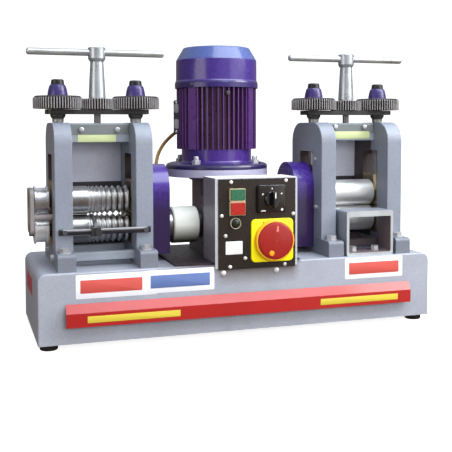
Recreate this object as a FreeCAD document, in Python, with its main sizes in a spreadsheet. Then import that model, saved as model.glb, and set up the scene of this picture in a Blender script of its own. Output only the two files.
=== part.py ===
import FreeCAD, Part
import math
import os
import Sketcher

# Bench rolling mill with two roll stands driven by one motor, 727 mm long.
# Frame: origin at the centre of the four fixing holes on the underside of the
# feet, +X to the right along the base, +Y to the back, +Z up. Millimetres.

doc = FreeCAD.newDocument("RollingMill")
Vec = FreeCAD.Vector
Rot = FreeCAD.Rotation

# ---------------------------------------------------------------- dimensions
sheet = doc.addObject("Spreadsheet::Sheet", "Dims")
CELLS = [
    ("base_xa", -362.0), ("base_xb", 364.5), ("base_ya", -118.0), ("base_yb", 142.0), ("base_bot", 10.0), ("base_top", 128.0),
    ("base_wall", 3.0), ("base_round", 14.0), ("rubber_rad", 15.0), ("rubber_xpos", 343.0), ("rubber_ypos", 98.0), ("fixing_rad", 4.5),
    ("mill_xpos", 244.0), ("axis_y", -8.0), ("low_z", 187.5), ("upp_z", 238.0),
    ("upr_in", 54.0), ("upr_thk", 30.0), ("upr_half", 70.0), ("upr_top", 375.0), ("upr_round", 37.0),
    ("pad_len", 33.5), ("bolt_off", 82.5), ("pad_top", 157.0), ("slot_half", 29.0), ("slot_bot", 160.0), ("slot_top", 320.0),
    ("screw_off", 69.0), ("screw_rad", 8.5), ("column_rad", 6.0), ("run_gap", 0.05),
    ("roll_rad", 25.0), ("roll_half", 51.0), ("neck_rad", 15.0), ("stub_rad", 12.0), ("tip_rad", 10.0),
    ("plate_bot", 390.0), ("plate_top", 398.0), ("gear_bot", 399.5), ("gear_top", 421.5),
    ("pin_bot", 398.8), ("pin_top", 417.0), ("gear_mod", 1.5), ("gear_teeth", 55.0), ("pin_teeth", 37.0),
    ("post_top", 507.5), ("bar_z", 498.3), ("bar_rad", 6.0), ("bar_half", 121.5), ("post_r", 15.2),
    ("drive_teeth", 16.0), ("drive_mod", 3.125), ("motor_y", 55.0), ("motor_x", -2.5), ("flange_rad", 98.5),
    ("frame_rad", 67.5), ("fin_rad", 77.0), ("fin_bot", 325.0), ("fin_top", 441.0), ("cowl_rad", 78.0),
    ("cowl_top", 518.0), ("hub_half", 56.0), ("sleeve_rad", 33.5), ("sleeve_in", 64.5), ("sleeve_out", 112.0),
    ("box_xa", -61.0), ("box_xb", 93.0), ("box_front", -120.0), ("box_back", -51.0), ("box_bot", 131.0), ("box_top", 278.5),
    ("panel_front", -122.0), ("bar_zbot", 40.0), ("bar_ztop", 63.0), ("bar_len_half", 318.0), ("push_travel", 4.0),
    ("knob_x", 44.5), ("knob_z", 168.0), ("knob_rad", 32.3), ("sel_x", 41.3), ("sel_z", 240.3), ("table_half", 48.0), ("table_top", 211.0),
]
DIM = {}
for i, (alias, value) in enumerate(CELLS):
    sheet.set("A%d" % (i + 1), alias.replace("_", " "))
    sheet.set("B%d" % (i + 1), repr(value))
    sheet.setAlias("B%d" % (i + 1), alias)
    DIM[alias] = value
doc.recompute()


class V:
    """A length that carries its value and the sheet expression it comes from."""

    def __init__(self, val, ex):
        self.v = float(val)
        self.ex = ex

    def _op(self, o, sign, fn, swap=False):
        o = o if isinstance(o, V) else V(o, "(%r)" % float(o))
        a, b = (o, self) if swap else (self, o)
        return V(fn(a.v, b.v), "(%s %s %s)" % (a.ex, sign, b.ex))

    def __add__(self, o): return self._op(o, "+", lambda a, b: a + b)
    def __radd__(self, o): return self._op(o, "+", lambda a, b: a + b, True)
    def __sub__(self, o): return self._op(o, "-", lambda a, b: a - b)
    def __rsub__(self, o): return self._op(o, "-", lambda a, b: a - b, True)
    def __mul__(self, o): return self._op(o, "*", lambda a, b: a * b)
    def __rmul__(self, o): return self._op(o, "*", lambda a, b: a * b, True)
    def __truediv__(self, o): return self._op(o, "/", lambda a, b: a / b)
    def __neg__(self): return V(-self.v, "(0 - %s)" % self.ex)


class Dims:
    def __getattr__(self, k):
        return V(DIM[k], "Dims." + k)


D = Dims()


def n(x):
    return x.v if isinstance(x, V) else float(x)


def bind(obj, prop, x):
    if isinstance(x, V):
        obj.setExpression(prop, x.ex)


def put(obj, x, y, z, rot=None):
    obj.Placement = FreeCAD.Placement(Vec(n(x), n(y), n(z)), rot or Rot())
    for k, v in (("x", x), ("y", y), ("z", z)):
        bind(obj, "Placement.Base." + k, v)
    return obj


def size(obj, prop, x):
    setattr(obj, prop, n(x))
    bind(obj, prop, x)


def box(name, xa, xb, ya, yb, za, zb):
    o = doc.addObject("Part::Box", name)
    size(o, "Length", xb - xa)
    size(o, "Width", yb - ya)
    size(o, "Height", zb - za)
    return put(o, xa, ya, za)


AX = {"X": Rot(Vec(0, 1, 0), 90), "Y": Rot(Vec(1, 0, 0), -90), "Z": Rot()}


def at_axis(o, axis, a, c, d):
    if axis == "X":
        return put(o, a, c, d, AX["X"])
    if axis == "Y":
        return put(o, c, a, d, AX["Y"])
    return put(o, c, d, a)


def cyl(name, axis, r, a, b, c, d):
    """Cylinder along axis from a to b; c, d are the other two coordinates."""
    o = doc.addObject("Part::Cylinder", name)
    size(o, "Radius", r)
    size(o, "Height", b - a)
    return at_axis(o, axis, a, c, d)


def cone(name, axis, ra, rb, a, b, c, d):
    o = doc.addObject("Part::Cone", name)
    size(o, "Radius1", ra)
    size(o, "Radius2", rb)
    size(o, "Height", b - a)
    return at_axis(o, axis, a, c, d)


def prism(name, axis, circ, a, b, c, d):
    o = doc.addObject("Part::Prism", name)
    o.Polygon = 6
    size(o, "Circumradius", circ)
    size(o, "Height", b - a)
    return at_axis(o, axis, a, c, d)


def fuse(name, *parts):
    o = doc.addObject("Part::MultiFuse", name)
    o.Shapes = list(parts)
    return o


def group(name, *parts):
    o = doc.addObject("Part::Compound", name)
    o.Links = list(parts)
    return o


def cut(name, base, *tools):
    o = doc.addObject("Part::Cut", name)
    o.Base = base
    o.Tool = tools[0] if len(tools) == 1 else group(name + "_tools", *tools)
    return o


def direction(e):
    p, q = e.Vertexes[0].Point, e.Vertexes[-1].Point
    d = q.sub(p)
    return d.normalize() if d.Length > 1e-6 else d


def along(e, axis):
    if e.Curve.TypeId != "Part::GeomLine":
        return False
    d = direction(e)
    return abs({"X": d.x, "Y": d.y, "Z": d.z}[axis]) > 0.999


def mid(e):
    return e.valueAt((e.FirstParameter + e.LastParameter) / 2.0)


def fillet(name, base, r, cond):
    doc.recompute()
    o = doc.addObject("Part::Fillet", name)
    o.Base = base
    o.Edges = [(i + 1, n(r), n(r)) for i, e in enumerate(base.Shape.Edges) if cond(e)]
    if not o.Edges:
        raise RuntimeError(name + ": no edges to round")
    return o


PLANE = {"XY": "XY_Plane", "XZ": "XZ_Plane", "YZ": "YZ_Plane"}


def new_sketch(body, name, plane):
    sk = body.newObject("Sketcher::SketchObject", name)
    ref = [f for f in body.Origin.OriginFeatures if f.Role == PLANE[plane]][0]
    sk.AttachmentSupport = [(ref, "")]
    sk.MapMode = "FlatFace"
    return sk


def loop(sk, pts):
    """Closed polygon with every corner dimensioned from the sketch origin."""
    first = sk.GeometryCount
    k = len(pts)
    for i in range(k):
        a, b = pts[i], pts[(i + 1) % k]
        sk.addGeometry(Part.LineSegment(Vec(n(a[0]), n(a[1]), 0), Vec(n(b[0]), n(b[1]), 0)), False)
    for i in range(k):
        sk.addConstraint(Sketcher.Constraint("Coincident", first + i, 2, first + (i + 1) % k, 1))
    for i in range(k):
        for kind, val in (("DistanceX", pts[i][0]), ("DistanceY", pts[i][1])):
            if isinstance(val, V):
                c = sk.addConstraint(Sketcher.Constraint(kind, -1, 1, first + i, 1, n(val)))
                sk.setExpression("Constraints[%d]" % c, val.ex)
            elif abs(val) < 1e-9:
                sk.addConstraint(Sketcher.Constraint("PointOnObject", first + i, 1, -2 if kind == "DistanceX" else -1))
            else:
                sk.addConstraint(Sketcher.Constraint(kind, -1, 1, first + i, 1, n(val)))


def ring(sk, x, y, r):
    g = sk.addGeometry(Part.Circle(Vec(n(x), n(y), 0), Vec(0, 0, 1), n(r)), False)
    c = sk.addConstraint(Sketcher.Constraint("Radius", g, n(r)))
    if isinstance(r, V):
        sk.setExpression("Constraints[%d]" % c, r.ex)
    for kind, val in (("DistanceX", x), ("DistanceY", y)):
        if not isinstance(val, V) and abs(val) < 1e-9:
            sk.addConstraint(Sketcher.Constraint("PointOnObject", g, 3, -2 if kind == "DistanceX" else -1))
            continue
        c = sk.addConstraint(Sketcher.Constraint(kind, -1, 1, g, 3, n(val)))
        if isinstance(val, V):
            sk.setExpression("Constraints[%d]" % c, val.ex)


def pad(name, plane, pts, length, x=0, y=0, z=0, rings=(), holes=()):
    """Padded profile. XY pads to +Z, YZ to +X, XZ to +Y."""
    body = doc.addObject("PartDesign::Body", name)
    sk = new_sketch(body, name + "_outline", plane)
    if pts:
        loop(sk, pts)
    for h in holes:
        loop(sk, h)
    for c in rings:
        ring(sk, *c)
    p = body.newObject("PartDesign::Pad", name + "_pad")
    p.Profile = sk
    p.Length = n(length)
    bind(p, "Length", length)
    if plane == "XZ":
        p.Reversed = True
    body.Tip = p
    return put(body, x, y, z)


def turn(name, axis, pts, x=0, y=0, z=0):
    """Turned piece: pts are (position along the axis, radius)."""
    body = doc.addObject("PartDesign::Body", name)
    if axis == "Z":
        sk = new_sketch(body, name + "_outline", "XZ")
        loop(sk, [(r, a) for a, r in pts])
        ref = "V_Axis"
    elif axis == "Y":
        sk = new_sketch(body, name + "_outline", "XY")
        loop(sk, [(r, a) for a, r in pts])
        ref = "V_Axis"
    else:
        sk = new_sketch(body, name + "_outline", "XY")
        loop(sk, [(a, r) for a, r in pts])
        ref = "H_Axis"
    rv = body.newObject("PartDesign::Revolution", name + "_turned")
    rv.Profile = sk
    rv.ReferenceAxis = (sk, [ref])
    rv.Angle = 360.0
    body.Tip = rv
    return put(body, x, y, z)


def body_fillet(body, r, cond, name):
    doc.recompute()
    tip = body.Tip
    edges = ["Edge%d" % (i + 1) for i, e in enumerate(tip.Shape.Edges) if cond(e)]
    if not edges:
        raise RuntimeError(name + ": no edges to round")
    f = body.newObject("PartDesign::Fillet", name)
    f.Base = (tip, edges)
    f.Radius = n(r)
    bind(f, "Radius", r)
    body.Tip = f
    return body


def body_pocket(body, name, plane, pts, rings, depth, offset, flip):
    sk = new_sketch(body, name + "_outline", plane)
    sk.AttachmentOffset = FreeCAD.Placement(Vec(0, 0, n(offset)), Rot())
    if pts:
        loop(sk, pts)
    for c in rings:
        ring(sk, *c)
    doc.recompute()
    before = body.Shape.Volume
    p = body.newObject("PartDesign::Pocket", name)
    p.Profile = sk
    p.Length = n(depth)
    bind(p, "Length", depth)
    p.Reversed = flip
    body.Tip = p
    doc.recompute()
    if body.Shape.Volume > before - 1.0:
        raise RuntimeError(name + ": pocket removed nothing")
    return body


def feature(name, shape, x=0, y=0, z=0):
    o = doc.addObject("Part::Feature", name)
    o.Shape = shape
    return put(o, x, y, z)


NODES = []


def node(label, obj):
    obj.Label = label
    NODES.append(obj)
    return obj


def get(alias):
    return float(sheet.get(alias))


# ------------------------------------------------------------------- base
housing_outer = fillet("housing_outer", box("housing_block", D.base_xa, D.base_xb, D.base_ya, D.base_yb, D.base_bot, D.base_top),
                       D.base_round, lambda e: along(e, "Y") and mid(e).z > 100)
housing_edge = fillet("housing_edge", housing_outer, 2.5, lambda e: along(e, "X") and mid(e).z > 100)
housing_inner = fillet("housing_inner", box("housing_void", D.base_xa + D.base_wall, D.base_xb - D.base_wall,
                                            D.base_ya + D.base_wall, D.base_yb - D.base_wall, D.base_bot - 5, D.base_top - D.base_wall),
                       D.base_round - D.base_wall, lambda e: along(e, "Y") and mid(e).z > 100)
pin_holes = [cyl("pin_hole_%d" % i, "Y", 4 + D.run_gap, D.base_ya - 5, D.base_ya + 8, x, 52) for i, x in enumerate((-240, 0, 240))]
mains_hole = cyl("mains_hole", "Y", 8.0, D.base_yb - 8, D.base_yb + 5, -250, 62)
lead_hole = cyl("lead_hole", "Z", 6.0, D.base_top - 8, D.base_top + 5, -104, 96)
node("base_housing", cut("housing", housing_edge, housing_inner, mains_hole, lead_hole, *pin_holes))

fixing = [cyl("fixing_hole_%d" % i, "Z", D.fixing_rad, D.base_bot - 2, D.base_bot + 6, D.rubber_xpos * sx, D.rubber_ypos * sy)
          for i, (sx, sy) in enumerate(((-1, -1), (1, -1), (-1, 1), (1, 1)))]
node("base_floor_plate", cut("floor", box("floor_plate", D.base_xa + D.base_wall + 0.2, D.base_xb - D.base_wall - 0.2,
                             D.base_ya + D.base_wall + 0.2, D.base_yb - D.base_wall - 0.2, D.base_bot, D.base_bot + 3), *fixing))
feet = []
for i, (sx, sy) in enumerate(((-1, -1), (1, -1), (-1, 1), (1, 1))):
    feet.append(turn("foot_%d" % i, "Z", [(0, D.fixing_rad), (0, D.rubber_rad - 1.5), (1.5, D.rubber_rad), (D.base_bot, D.rubber_rad), (D.base_bot, D.fixing_rad)],
                     D.rubber_xpos * sx, D.rubber_ypos * sy, 0))
node("rubber_feet", group("rubber_feet_set", *feet))

# -------------------------------------------------------------- roll stands
MX = {"left": -D.mill_xpos, "right": D.mill_xpos}
ZT = D.upr_top


def upright(name, x0):
    """Side frame plate, 30 mm thick, with front and rear foot pads, the
    bearing window and the bore of the adjusting screw."""
    ha, pl = D.upr_half, D.pad_len
    pts = [(-(ha + pl), D.base_top), (ha + pl, D.base_top), (ha + pl, D.pad_top), (ha, D.pad_top), (ha, ZT),
           (-ha, ZT), (-ha, D.pad_top), (-(ha + pl), D.pad_top)]
    window = [(-D.slot_half, D.slot_bot), (D.slot_half, D.slot_bot), (D.slot_half, D.slot_top), (-D.slot_half, D.slot_top)]
    b = pad(name + "_plate", "YZ", pts, D.upr_thk, x0, D.axis_y, 0, holes=[window])
    b = body_fillet(b, D.upr_round, lambda e: along(e, "X") and mid(e).z > 370, name + "_round")
    b = body_fillet(b, 6.0, lambda e: along(e, "X") and abs(mid(e).z - 157) < 0.1 and abs(mid(e).y) > 100, name + "_padround")
    b = body_fillet(b, 8.0, lambda e: along(e, "X") and abs(mid(e).z - 320) < 0.1, name + "_windowround")
    b = body_fillet(b, 1.5, lambda e: mid(e).z > 160 and abs(abs(mid(e).y) - 70) < 0.1 and along(e, "Z"), name + "_edge")
    bore = cyl(name + "_bore", "Z", D.screw_rad + D.run_gap, D.slot_top - 10, ZT + 5, x0 + D.upr_thk / 2, D.axis_y)
    holes = [cyl(name + "_foothole%d" % k, "Z", 5.2, D.base_top - 2, D.pad_top + 2, x0 + D.upr_thk / 2, D.axis_y + s * D.bolt_off)
             for k, s in enumerate((-1, 1))]
    return cut(name, b, bore, *holes)


XO = {}
for side in ("left", "right"):
    a = upright(side + "_outer" if side == "left" else side + "_inner", MX[side] - D.upr_in - D.upr_thk)
    c = upright(side + "_inner" if side == "left" else side + "_outer", MX[side] + D.upr_in)
    node(side + "_stand_uprights", group(side + "_uprights", a, c))

ties = []
for side in ("left", "right"):
    m = MX[side]
    top = box(side + "_toptie_block", m - D.upr_in, m + D.upr_in, -22.0, 14.0, 340.0, 374.0)
    top = fillet(side + "_toptie_round", top, 2.0, lambda e: along(e, "X"))
    tb = cyl(side + "_tie_bore", "Z", D.column_rad + D.run_gap, 335.0, 380.0, m, D.axis_y)
    rebate = box(side + "_tie_rebate", m - D.upr_in, m + D.upr_in, -25.0, -20.0, 354.0, 371.0)
    ties.append(cut(side + "_toptie", top, tb, rebate))
    ties.append(fillet(side + "_lowfront", box(side + "_lowtie", m - D.upr_in, m + D.upr_in, -60.0, -45.0, 137.0, 152.0), 2.0, lambda e: along(e, "X")))
    ties.append(fillet(side + "_lowrear", box(side + "_lowtie_b", m - D.upr_in, m + D.upr_in, 29.0, 44.0, 137.0, 152.0), 2.0, lambda e: along(e, "X")))
ties += [box(s + "_strip", MX[s] - D.upr_in + 0.5, MX[s] + D.upr_in - 0.5, -22.5, -20.0, 354.2, 370.8) for s in ("left", "right")]
node("cross_ties", group("cross_tie_set", *ties))

guards = []
for s in ("left", "right"):
    xa, xb = MX[s] - D.upr_in + 0.2, MX[s] + D.upr_in - 0.2
    guards.append(fuse(s + "_guard", box(s + "_guard_sheet", xa, xb, 58.0, 60.0, 262.0, 372.0), box(s + "_guard_lip", xa, xb, 56.5, 60.0, 248.0, 266.0)))
    guards.append(box(s + "_guard_low", xa, xb, 58.0, 60.0, 130.0, 200.0))
node("rear_guards", group("rear_guard_set", *guards))

# bearing blocks, bronze, one per neck
low, upp = [], {"left": [], "right": []}
SH = D.slot_half - D.run_gap
for side in ("left", "right"):
    for k, xc in enumerate((MX[side] - D.screw_off, MX[side] + D.screw_off)):
        xa, xb = xc - 14.8, xc + 14.8
        nm = "%s_brg%d" % (side, k)
        blk = box(nm + "_low", xa, xb, D.axis_y - SH, D.axis_y + SH, D.slot_bot, 211.5)
        low.append(cut(nm + "_lowblock", blk, cyl(nm + "_lowbore", "X", D.neck_rad + D.run_gap, xa - 2, xb + 2, D.axis_y, D.low_z)))
        blk = box(nm + "_up", xa, xb, D.axis_y - SH, D.axis_y + SH, 214.5, 273.5)
        upp[side].append(cut(nm + "_upblock", blk, cyl(nm + "_upbore", "X", D.neck_rad + D.run_gap, xa - 2, xb + 2, D.axis_y, D.upp_z),
                             cyl(nm + "_socket", "Z", D.screw_rad + D.run_gap, 264.0, 276.0, xc, D.axis_y)))
node("lower_bearings", group("lower_bearing_set", *low))
for side in ("left", "right"):
    node(side + "_upper_bearings", group(side + "_upper_bearing_set", *upp[side]))

# ------------------------------------------------------------------- rolls
GROOVES = (4.5, 5.5, 6.5, 7.5, 8.5, 9.5, 10.5, 11.5)


def roll_face(sign):
    """Profile along the roll face. The left stand's rolls have a plain part and
    a row of vee grooves that widen towards the drive side."""
    rh, rr = D.roll_half, D.roll_rad
    if sign == "plain":
        return [(-rh, rr - 0.8), (-rh + 0.8, rr), (rh - 0.8, rr), (rh, rr - 0.8)]
    pts = [(-rh, rr - 0.8), (-rh + 0.8, rr)]
    a = 51.0 - 2.2
    runs = []
    for w in reversed(GROOVES):
        runs.append((a - w, a))
        a = a - w - 0.8
    for s, e in reversed(runs):
        mid_ = (s + e) / 2.0
        dep = (e - s) / 2.0
        pts += [(s, rr), (mid_ - 0.15, rr - dep + 0.15), (mid_ + 0.15, rr - dep + 0.15), (e, rr)]
    pts += [(rh - 0.8, rr), (rh, rr - 0.8)]
    return pts


def roll(name, x, z, kind, left, right):
    """left and right are the (position, radius) steps outside the bearings."""
    ni = D.upr_in + D.upr_thk
    pts = [(left[0][0], 0)] + left + [(-ni, D.neck_rad), (-D.roll_half, D.neck_rad)]
    pts += roll_face(kind)
    pts += [(D.roll_half, D.neck_rad), (ni, D.neck_rad)] + right + [(right[-1][0], 0)]
    return turn(name, "X", pts, x, D.axis_y, z)


NI = D.upr_in + D.upr_thk
# end that is capped beside its bearing
stop_l = [(-NI - 2.5, 11.0), (-NI - 2.5, 14.0), (-NI, 14.0)]
side_l = [(-121.0, 9.2), (-120.2, D.tip_rad), (-114.0, D.tip_rad), (-114.0, D.stub_rad), (-NI, D.stub_rad)]
gear_r = [(NI, D.stub_rad), (113.5, D.stub_rad)]
drive_r = [(NI, D.stub_rad), (123.2, D.stub_rad), (123.2, 27.0), (131.4, 27.0), (131.4, D.stub_rad), (156.0, D.stub_rad)]


def mirror(pts):
    return [(-a if isinstance(a, (int, float)) else -a, r) for a, r in reversed(pts)]


node("left_lower_roll", roll("l_lower", MX["left"], D.low_z, "grooved", side_l, drive_r))
node("left_upper_roll", roll("l_upper", MX["left"], D.upp_z, "grooved", side_l, gear_r))
cap_r = [(NI, 14.0), (NI + 2.5, 14.0), (NI + 2.5, 11.0)]
node("right_lower_roll", roll("r_lower", MX["right"], D.low_z, "plain", mirror(drive_r), cap_r))
node("right_upper_roll", roll("r_upper", MX["right"], D.upp_z, "plain", mirror(gear_r), cap_r))

# side rolls on the free ends of the left stand's rolls, flanged like spools
def spool(name, body, flange, z):
    return turn(name, "X", [(-357, 12.02), (-357, flange - 0.8), (-356.2, flange), (-353.8, flange), (-353.3, body), (-335.7, body), (-335.2, flange), (-332.8, flange), (-332, flange - 0.8), (-332, 12.02)],
                0, D.axis_y, z)


node("upper_side_roll", spool("side_roll_up", 24.0, 26.6, D.upp_z))
node("lower_side_roll", spool("side_roll_low", 21.0, 23.4, D.low_z))
br = pad("bracket_strap", "YZ", [(-34, 183), (34, 183), (34, 261), (-34, 261)], 6.5, -365.0, D.axis_y, 0,
         holes=[[(-10.15, 226.5), (10.15, 226.5), (10.15, 254.5), (-10.15, 254.5)]])
br = body_fillet(br, 10.0, lambda e: along(e, "X") and abs(abs(mid(e).y) - 34) < 0.1, "bracket_round")
studs = [cyl("bracket_stud%d" % i, "X", 5.0, -358.5, -328.0, D.axis_y + s * 29, 213.0) for i, s in enumerate((-1, 1))]
node("side_roll_bracket", cut("side_bracket", fuse("side_bracket_solid", br, *studs), cyl("bracket_notch", "X", D.tip_rad + 1.5, -368.0, -357.0, D.axis_y, D.low_z)))


# -------------------------------------------------------------- toothed wheels
def wheel(teeth, mod, bore, thick, phase=0.0, slack=0.06, chamfer=0.0):
    """Spur wheel blank on Z with straight-flanked teeth, one tooth centred on +X
    turned by phase degrees."""
    rp = teeth * mod / 2.0
    ra, rf = rp + mod, rp - 1.25 * mod
    s = math.pi * mod / 4.0 - slack * mod

    def half(r):
        return (s - (r - rp) * math.tan(math.radians(20.0))) / r
    radii = [(rf, half(rf)), (rp - 0.4 * mod, half(rp - 0.4 * mod)), (rp + 0.45 * mod, half(rp + 0.45 * mod) * 1.0), (ra, half(ra) * 0.93)]
    pts = []
    for k in range(int(teeth)):
        c = 2 * math.pi * k / teeth + math.radians(phase)
        for r, h in radii:
            pts.append(Vec(r * math.cos(c - h), r * math.sin(c - h), 0))
        for r, h in reversed(radii):
            pts.append(Vec(r * math.cos(c + h), r * math.sin(c + h), 0))
    pts.append(pts[0])
    face = Part.Face(Part.makePolygon(pts))
    solid = face.extrude(Vec(0, 0, thick))
    if chamfer > 0:
        top = Part.makeCone(ra + 8 - 0.0, ra - chamfer, chamfer + 8, Vec(0, 0, thick - chamfer - 8))
        keep = Part.makeCylinder(ra + 9, thick - chamfer)
        solid = solid.common(Part.makeCylinder(ra + 9, thick - chamfer).fuse(Part.makeCone(ra + 0.01, ra - chamfer, chamfer, Vec(0, 0, thick - chamfer))))
    return solid.cut(Part.makeCylinder(bore, thick + 2, Vec(0, 0, -1)))


gm, gt, pt = get("gear_mod"), get("gear_teeth"), get("pin_teeth")
sr, so = get("screw_rad"), get("screw_off")
for side in ("left", "right"):
    sx = -1 if side == "left" else 1
    mx = sx * get("mill_xpos")
    for k, dx in (("a", -so), ("b", so)):
        g = wheel(gt, gm, sr + 0.02, get("gear_top") - get("gear_bot"), chamfer=4.0)
        node("%s_screw_gear_%s" % (side, k), feature("%s_gear_%s" % (side, k), g, mx + dx, D.axis_y, D.gear_bot))
    g = wheel(pt, gm, 9.02, get("pin_top") - get("pin_bot"), chamfer=0.8)
    node(side + "_centre_pinion", feature(side + "_pinion", g, mx, D.axis_y, D.pin_bot))

dm, dt = get("drive_mod"), get("drive_teeth")
RX = Rot(Vec(0, 1, 0), 90)


def wheel_x(teeth, mod, bore, thick, phase, xa):
    s = wheel(teeth, mod, bore, thick, phase, slack=0.12)
    s.Placement = FreeCAD.Placement(Vec(xa, 0, 0), RX)
    return Part.makeCompound([s])


sb = get("stub_rad") + 0.02
lo = Part.makeCompound([wheel_x(dt, dm, sb, 22.0, 0.0, -156.5), wheel_x(dt, dm, sb, 22.0, 0.0, 134.5)])
node("lower_drive_pinions", feature("lower_pinions", lo, 0, D.axis_y, D.low_z))
half_step = 180.0 / dt
node("left_upper_pinion", feature("l_up_pinion", wheel_x(dt, dm, sb, 22.0, half_step, -156.5), 0, D.axis_y, D.upp_z))
node("right_upper_pinion", feature("r_up_pinion", wheel_x(dt, dm, sb, 22.0, half_step, 134.5), 0, D.axis_y, D.upp_z))

# ---------------------------------------------------- screw-down at the tops
for side in ("left", "right"):
    m = MX[side]
    body = pad(side + "_gearplate_flat", "XY", [(-90, -24), (90, -24), (90, 24), (-90, 24)], D.plate_top - D.plate_bot, m, D.axis_y, D.plate_bot,
               rings=[(-D.screw_off, 0, D.screw_rad + D.run_gap), (D.screw_off, 0, D.screw_rad + D.run_gap)])
    body = body_fillet(body, 10.0, lambda e: along(e, "Z"), side + "_gearplate_round")
    body = body_pocket(body, side + "_post_seat", "XY", None, [(0, 0, 7 + D.run_gap)], 5.0, D.plate_top - D.plate_bot, False)
    column = cyl(side + "_column", "Z", D.column_rad, 341.0, D.plate_bot + 1, m, D.axis_y)
    node(side + "_gear_plate", fuse(side + "_gearplate", body, column))
    post = turn(side + "_post", "Z", [(393.2, 0), (393.2, 7.0), (398.4, 7.0), (398.4, 9.0), (417.4, 9.0), (417.4, 14.8), (420.5, 14.8),
                                      (450.0, 13.3), (482.0, 11.4), (485.5, 14.2), (488.0, D.post_r), (D.post_top - 1.5, D.post_r), (D.post_top, D.post_r - 1.5), (D.post_top, 0)],
                m, D.axis_y, 0)
    node(side + "_handle_post", cut(side + "_post_bored", post, cyl(side + "_post_hole", "X", D.bar_rad + 0.02, m - 20, m + 20, D.axis_y, D.bar_z)))
    bh = D.bar_half
    node(side + "_handle_bar", turn(side + "_bar", "X", [(-bh, 0), (-bh, 3.2), (-bh + 1.0, 4.8), (-bh + 3.0, D.bar_rad), (bh - 3.0, D.bar_rad), (bh - 1.0, 4.8), (bh, 3.2), (bh, 0)],
                                    m, D.axis_y, D.bar_z))
    for k, s in (("a", -1), ("b", 1)):
        xs = m + D.screw_off * s
        rod = turn("%s_rod_%s" % (side, k), "Z", [(264.3, 0), (264.3, D.screw_rad - 1), (265.3, D.screw_rad), (376.0, D.screw_rad), (376.0, 9.9), (381.0, 9.9), (382.5, 10.6), (386.5, 13.2), (389.7, 13.2), (389.7, D.screw_rad),
                                                  (441.8, D.screw_rad), (441.8, 11.6), (448.4, 10.9), (449.8, 10.0), (450.5, 8.4), (450.5, 0)], xs, D.axis_y, 0)
        cap = turn("%s_cap_%s" % (side, k), "Z", [(421.6, D.screw_rad + 0.02), (421.6, 17.6), (424.0, 17.5), (430.0, 16.6), (436.0, 15.2), (439.0, 14.2), (440.8, 12.8), (441.6, 11.5), (441.6, D.screw_rad + 0.02)], xs, D.axis_y, 0)
        node("%s_adjusting_screw_%s" % (side, k), group("%s_screw_%s" % (side, k), rod, cap))

# --------------------------------------------------------------- gear covers
covers = []
for side in ("left", "right"):
    s = -1 if side == "left" else 1
    xa, xb = (-160.0, -121.5) if side == "left" else (121.5, 160.0)
    ia, ib = (-161.0, -123.7) if side == "left" else (123.7, 161.0)
    outer = fillet(side + "_cover_outer", box(side + "_cover_block", xa, xb, -44.0, 52.0, 140.0, 299.5), 47.9, lambda e: along(e, "X") and mid(e).z > 200)
    inner = fillet(side + "_cover_inner", box(side + "_cover_void", ia, ib, -41.8, 49.8, 142.2, 297.3), 45.7, lambda e: along(e, "X") and mid(e).z > 200)
    covers.append(cut(side + "_cover", outer, inner, cyl(side + "_cover_hole", "X", 13.0, xa - 5, xb + 5, D.axis_y, D.low_z)))
node("gear_covers", group("gear_cover_set", *covers))

# ------------------------------------------------------ gearbox and couplings
AY, LZ, MY, CX = D.axis_y, D.low_z, D.motor_y, D.motor_x
wheel_case = cyl("wheel_case", "X", 52.0, -50.0, 50.0, AY, LZ)
worm_case = box("worm_case", -47.0, 42.0, 10.0, 80.0, 133.0, 268.0)
hub_case = cyl("hub_case", "X", 38.0, -D.hub_half, D.hub_half, AY, LZ)
foot_case = box("foot_case", -50.0, 50.0, -48.0, 84.0, 131.0, 145.0)
neck_case = cyl("neck_case", "Z", 53.0, 266.0, 273.0, CX, MY)
case = fuse("case_body", wheel_case, fillet("worm_case_round", worm_case, 8.0, lambda e: along(e, "Z")), hub_case, foot_case, neck_case)
case = cut("case_hollow", case, cyl("wheel_void", "X", 47.5, CX - 22, CX + 22, AY, LZ), cyl("worm_void", "Z", 19.0, 140.0, 250.0, CX, MY),
           cyl("shaft_void", "X", 12.5 + D.run_gap, -60.0, 60.0, AY, LZ), cyl("worm_top_void", "Z", 14.05, 249.0, 280.0, CX, MY))
adaptor = turn("adaptor_ring", "Z", [(273.0, 20.0), (273.0, D.flange_rad - 1), (274.0, D.flange_rad), (287.6, D.flange_rad), (287.6, 20.0)], CX, MY, 0)
mount_plate = box("gearbox_footplate", -130.0, 100.0, -114.0, 104.0, D.base_top, 131.0)
plate_cut = box("footplate_notch", -131.0, -94.0, 84.0, 105.0, 127.0, 132.0)
node("gearbox_housing", group("gearbox_housing_set", case, adaptor, cut("footplate", mount_plate, plate_cut)))

node("output_shaft", turn("outshaft", "X", [(-87.0, 0), (-87.0, 12.5), (-62.6, 12.5), (-62.6, 24.0), (-57.0, 24.0), (-57.0, 12.5),
                                            (57.0, 12.5), (57.0, 24.0), (62.6, 24.0), (62.6, 12.5), (87.0, 12.5), (87.0, 0)], 0, AY, LZ))
ww = wheel(30, 2.87, 12.52, 36.0, slack=0.08)
ww.Placement = FreeCAD.Placement(Vec(get("motor_x") - 18, 0, 0), RX)
node("worm_wheel", feature("wormwheel", Part.makeCompound([ww]), 0, AY, LZ))
node("coupling_sleeves", group("coupling_sleeve_set", *[turn("sleeve_%d" % i, "X",
     [(a, 12.55), (a, D.sleeve_rad - 2), (a + 2, D.sleeve_rad), (b - 2, D.sleeve_rad), (b, D.sleeve_rad - 2), (b, 12.55)], 0, AY, LZ)
     for i, (a, b) in enumerate(((-D.sleeve_out, -D.sleeve_in), (D.sleeve_in, D.sleeve_out)))]))

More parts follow.
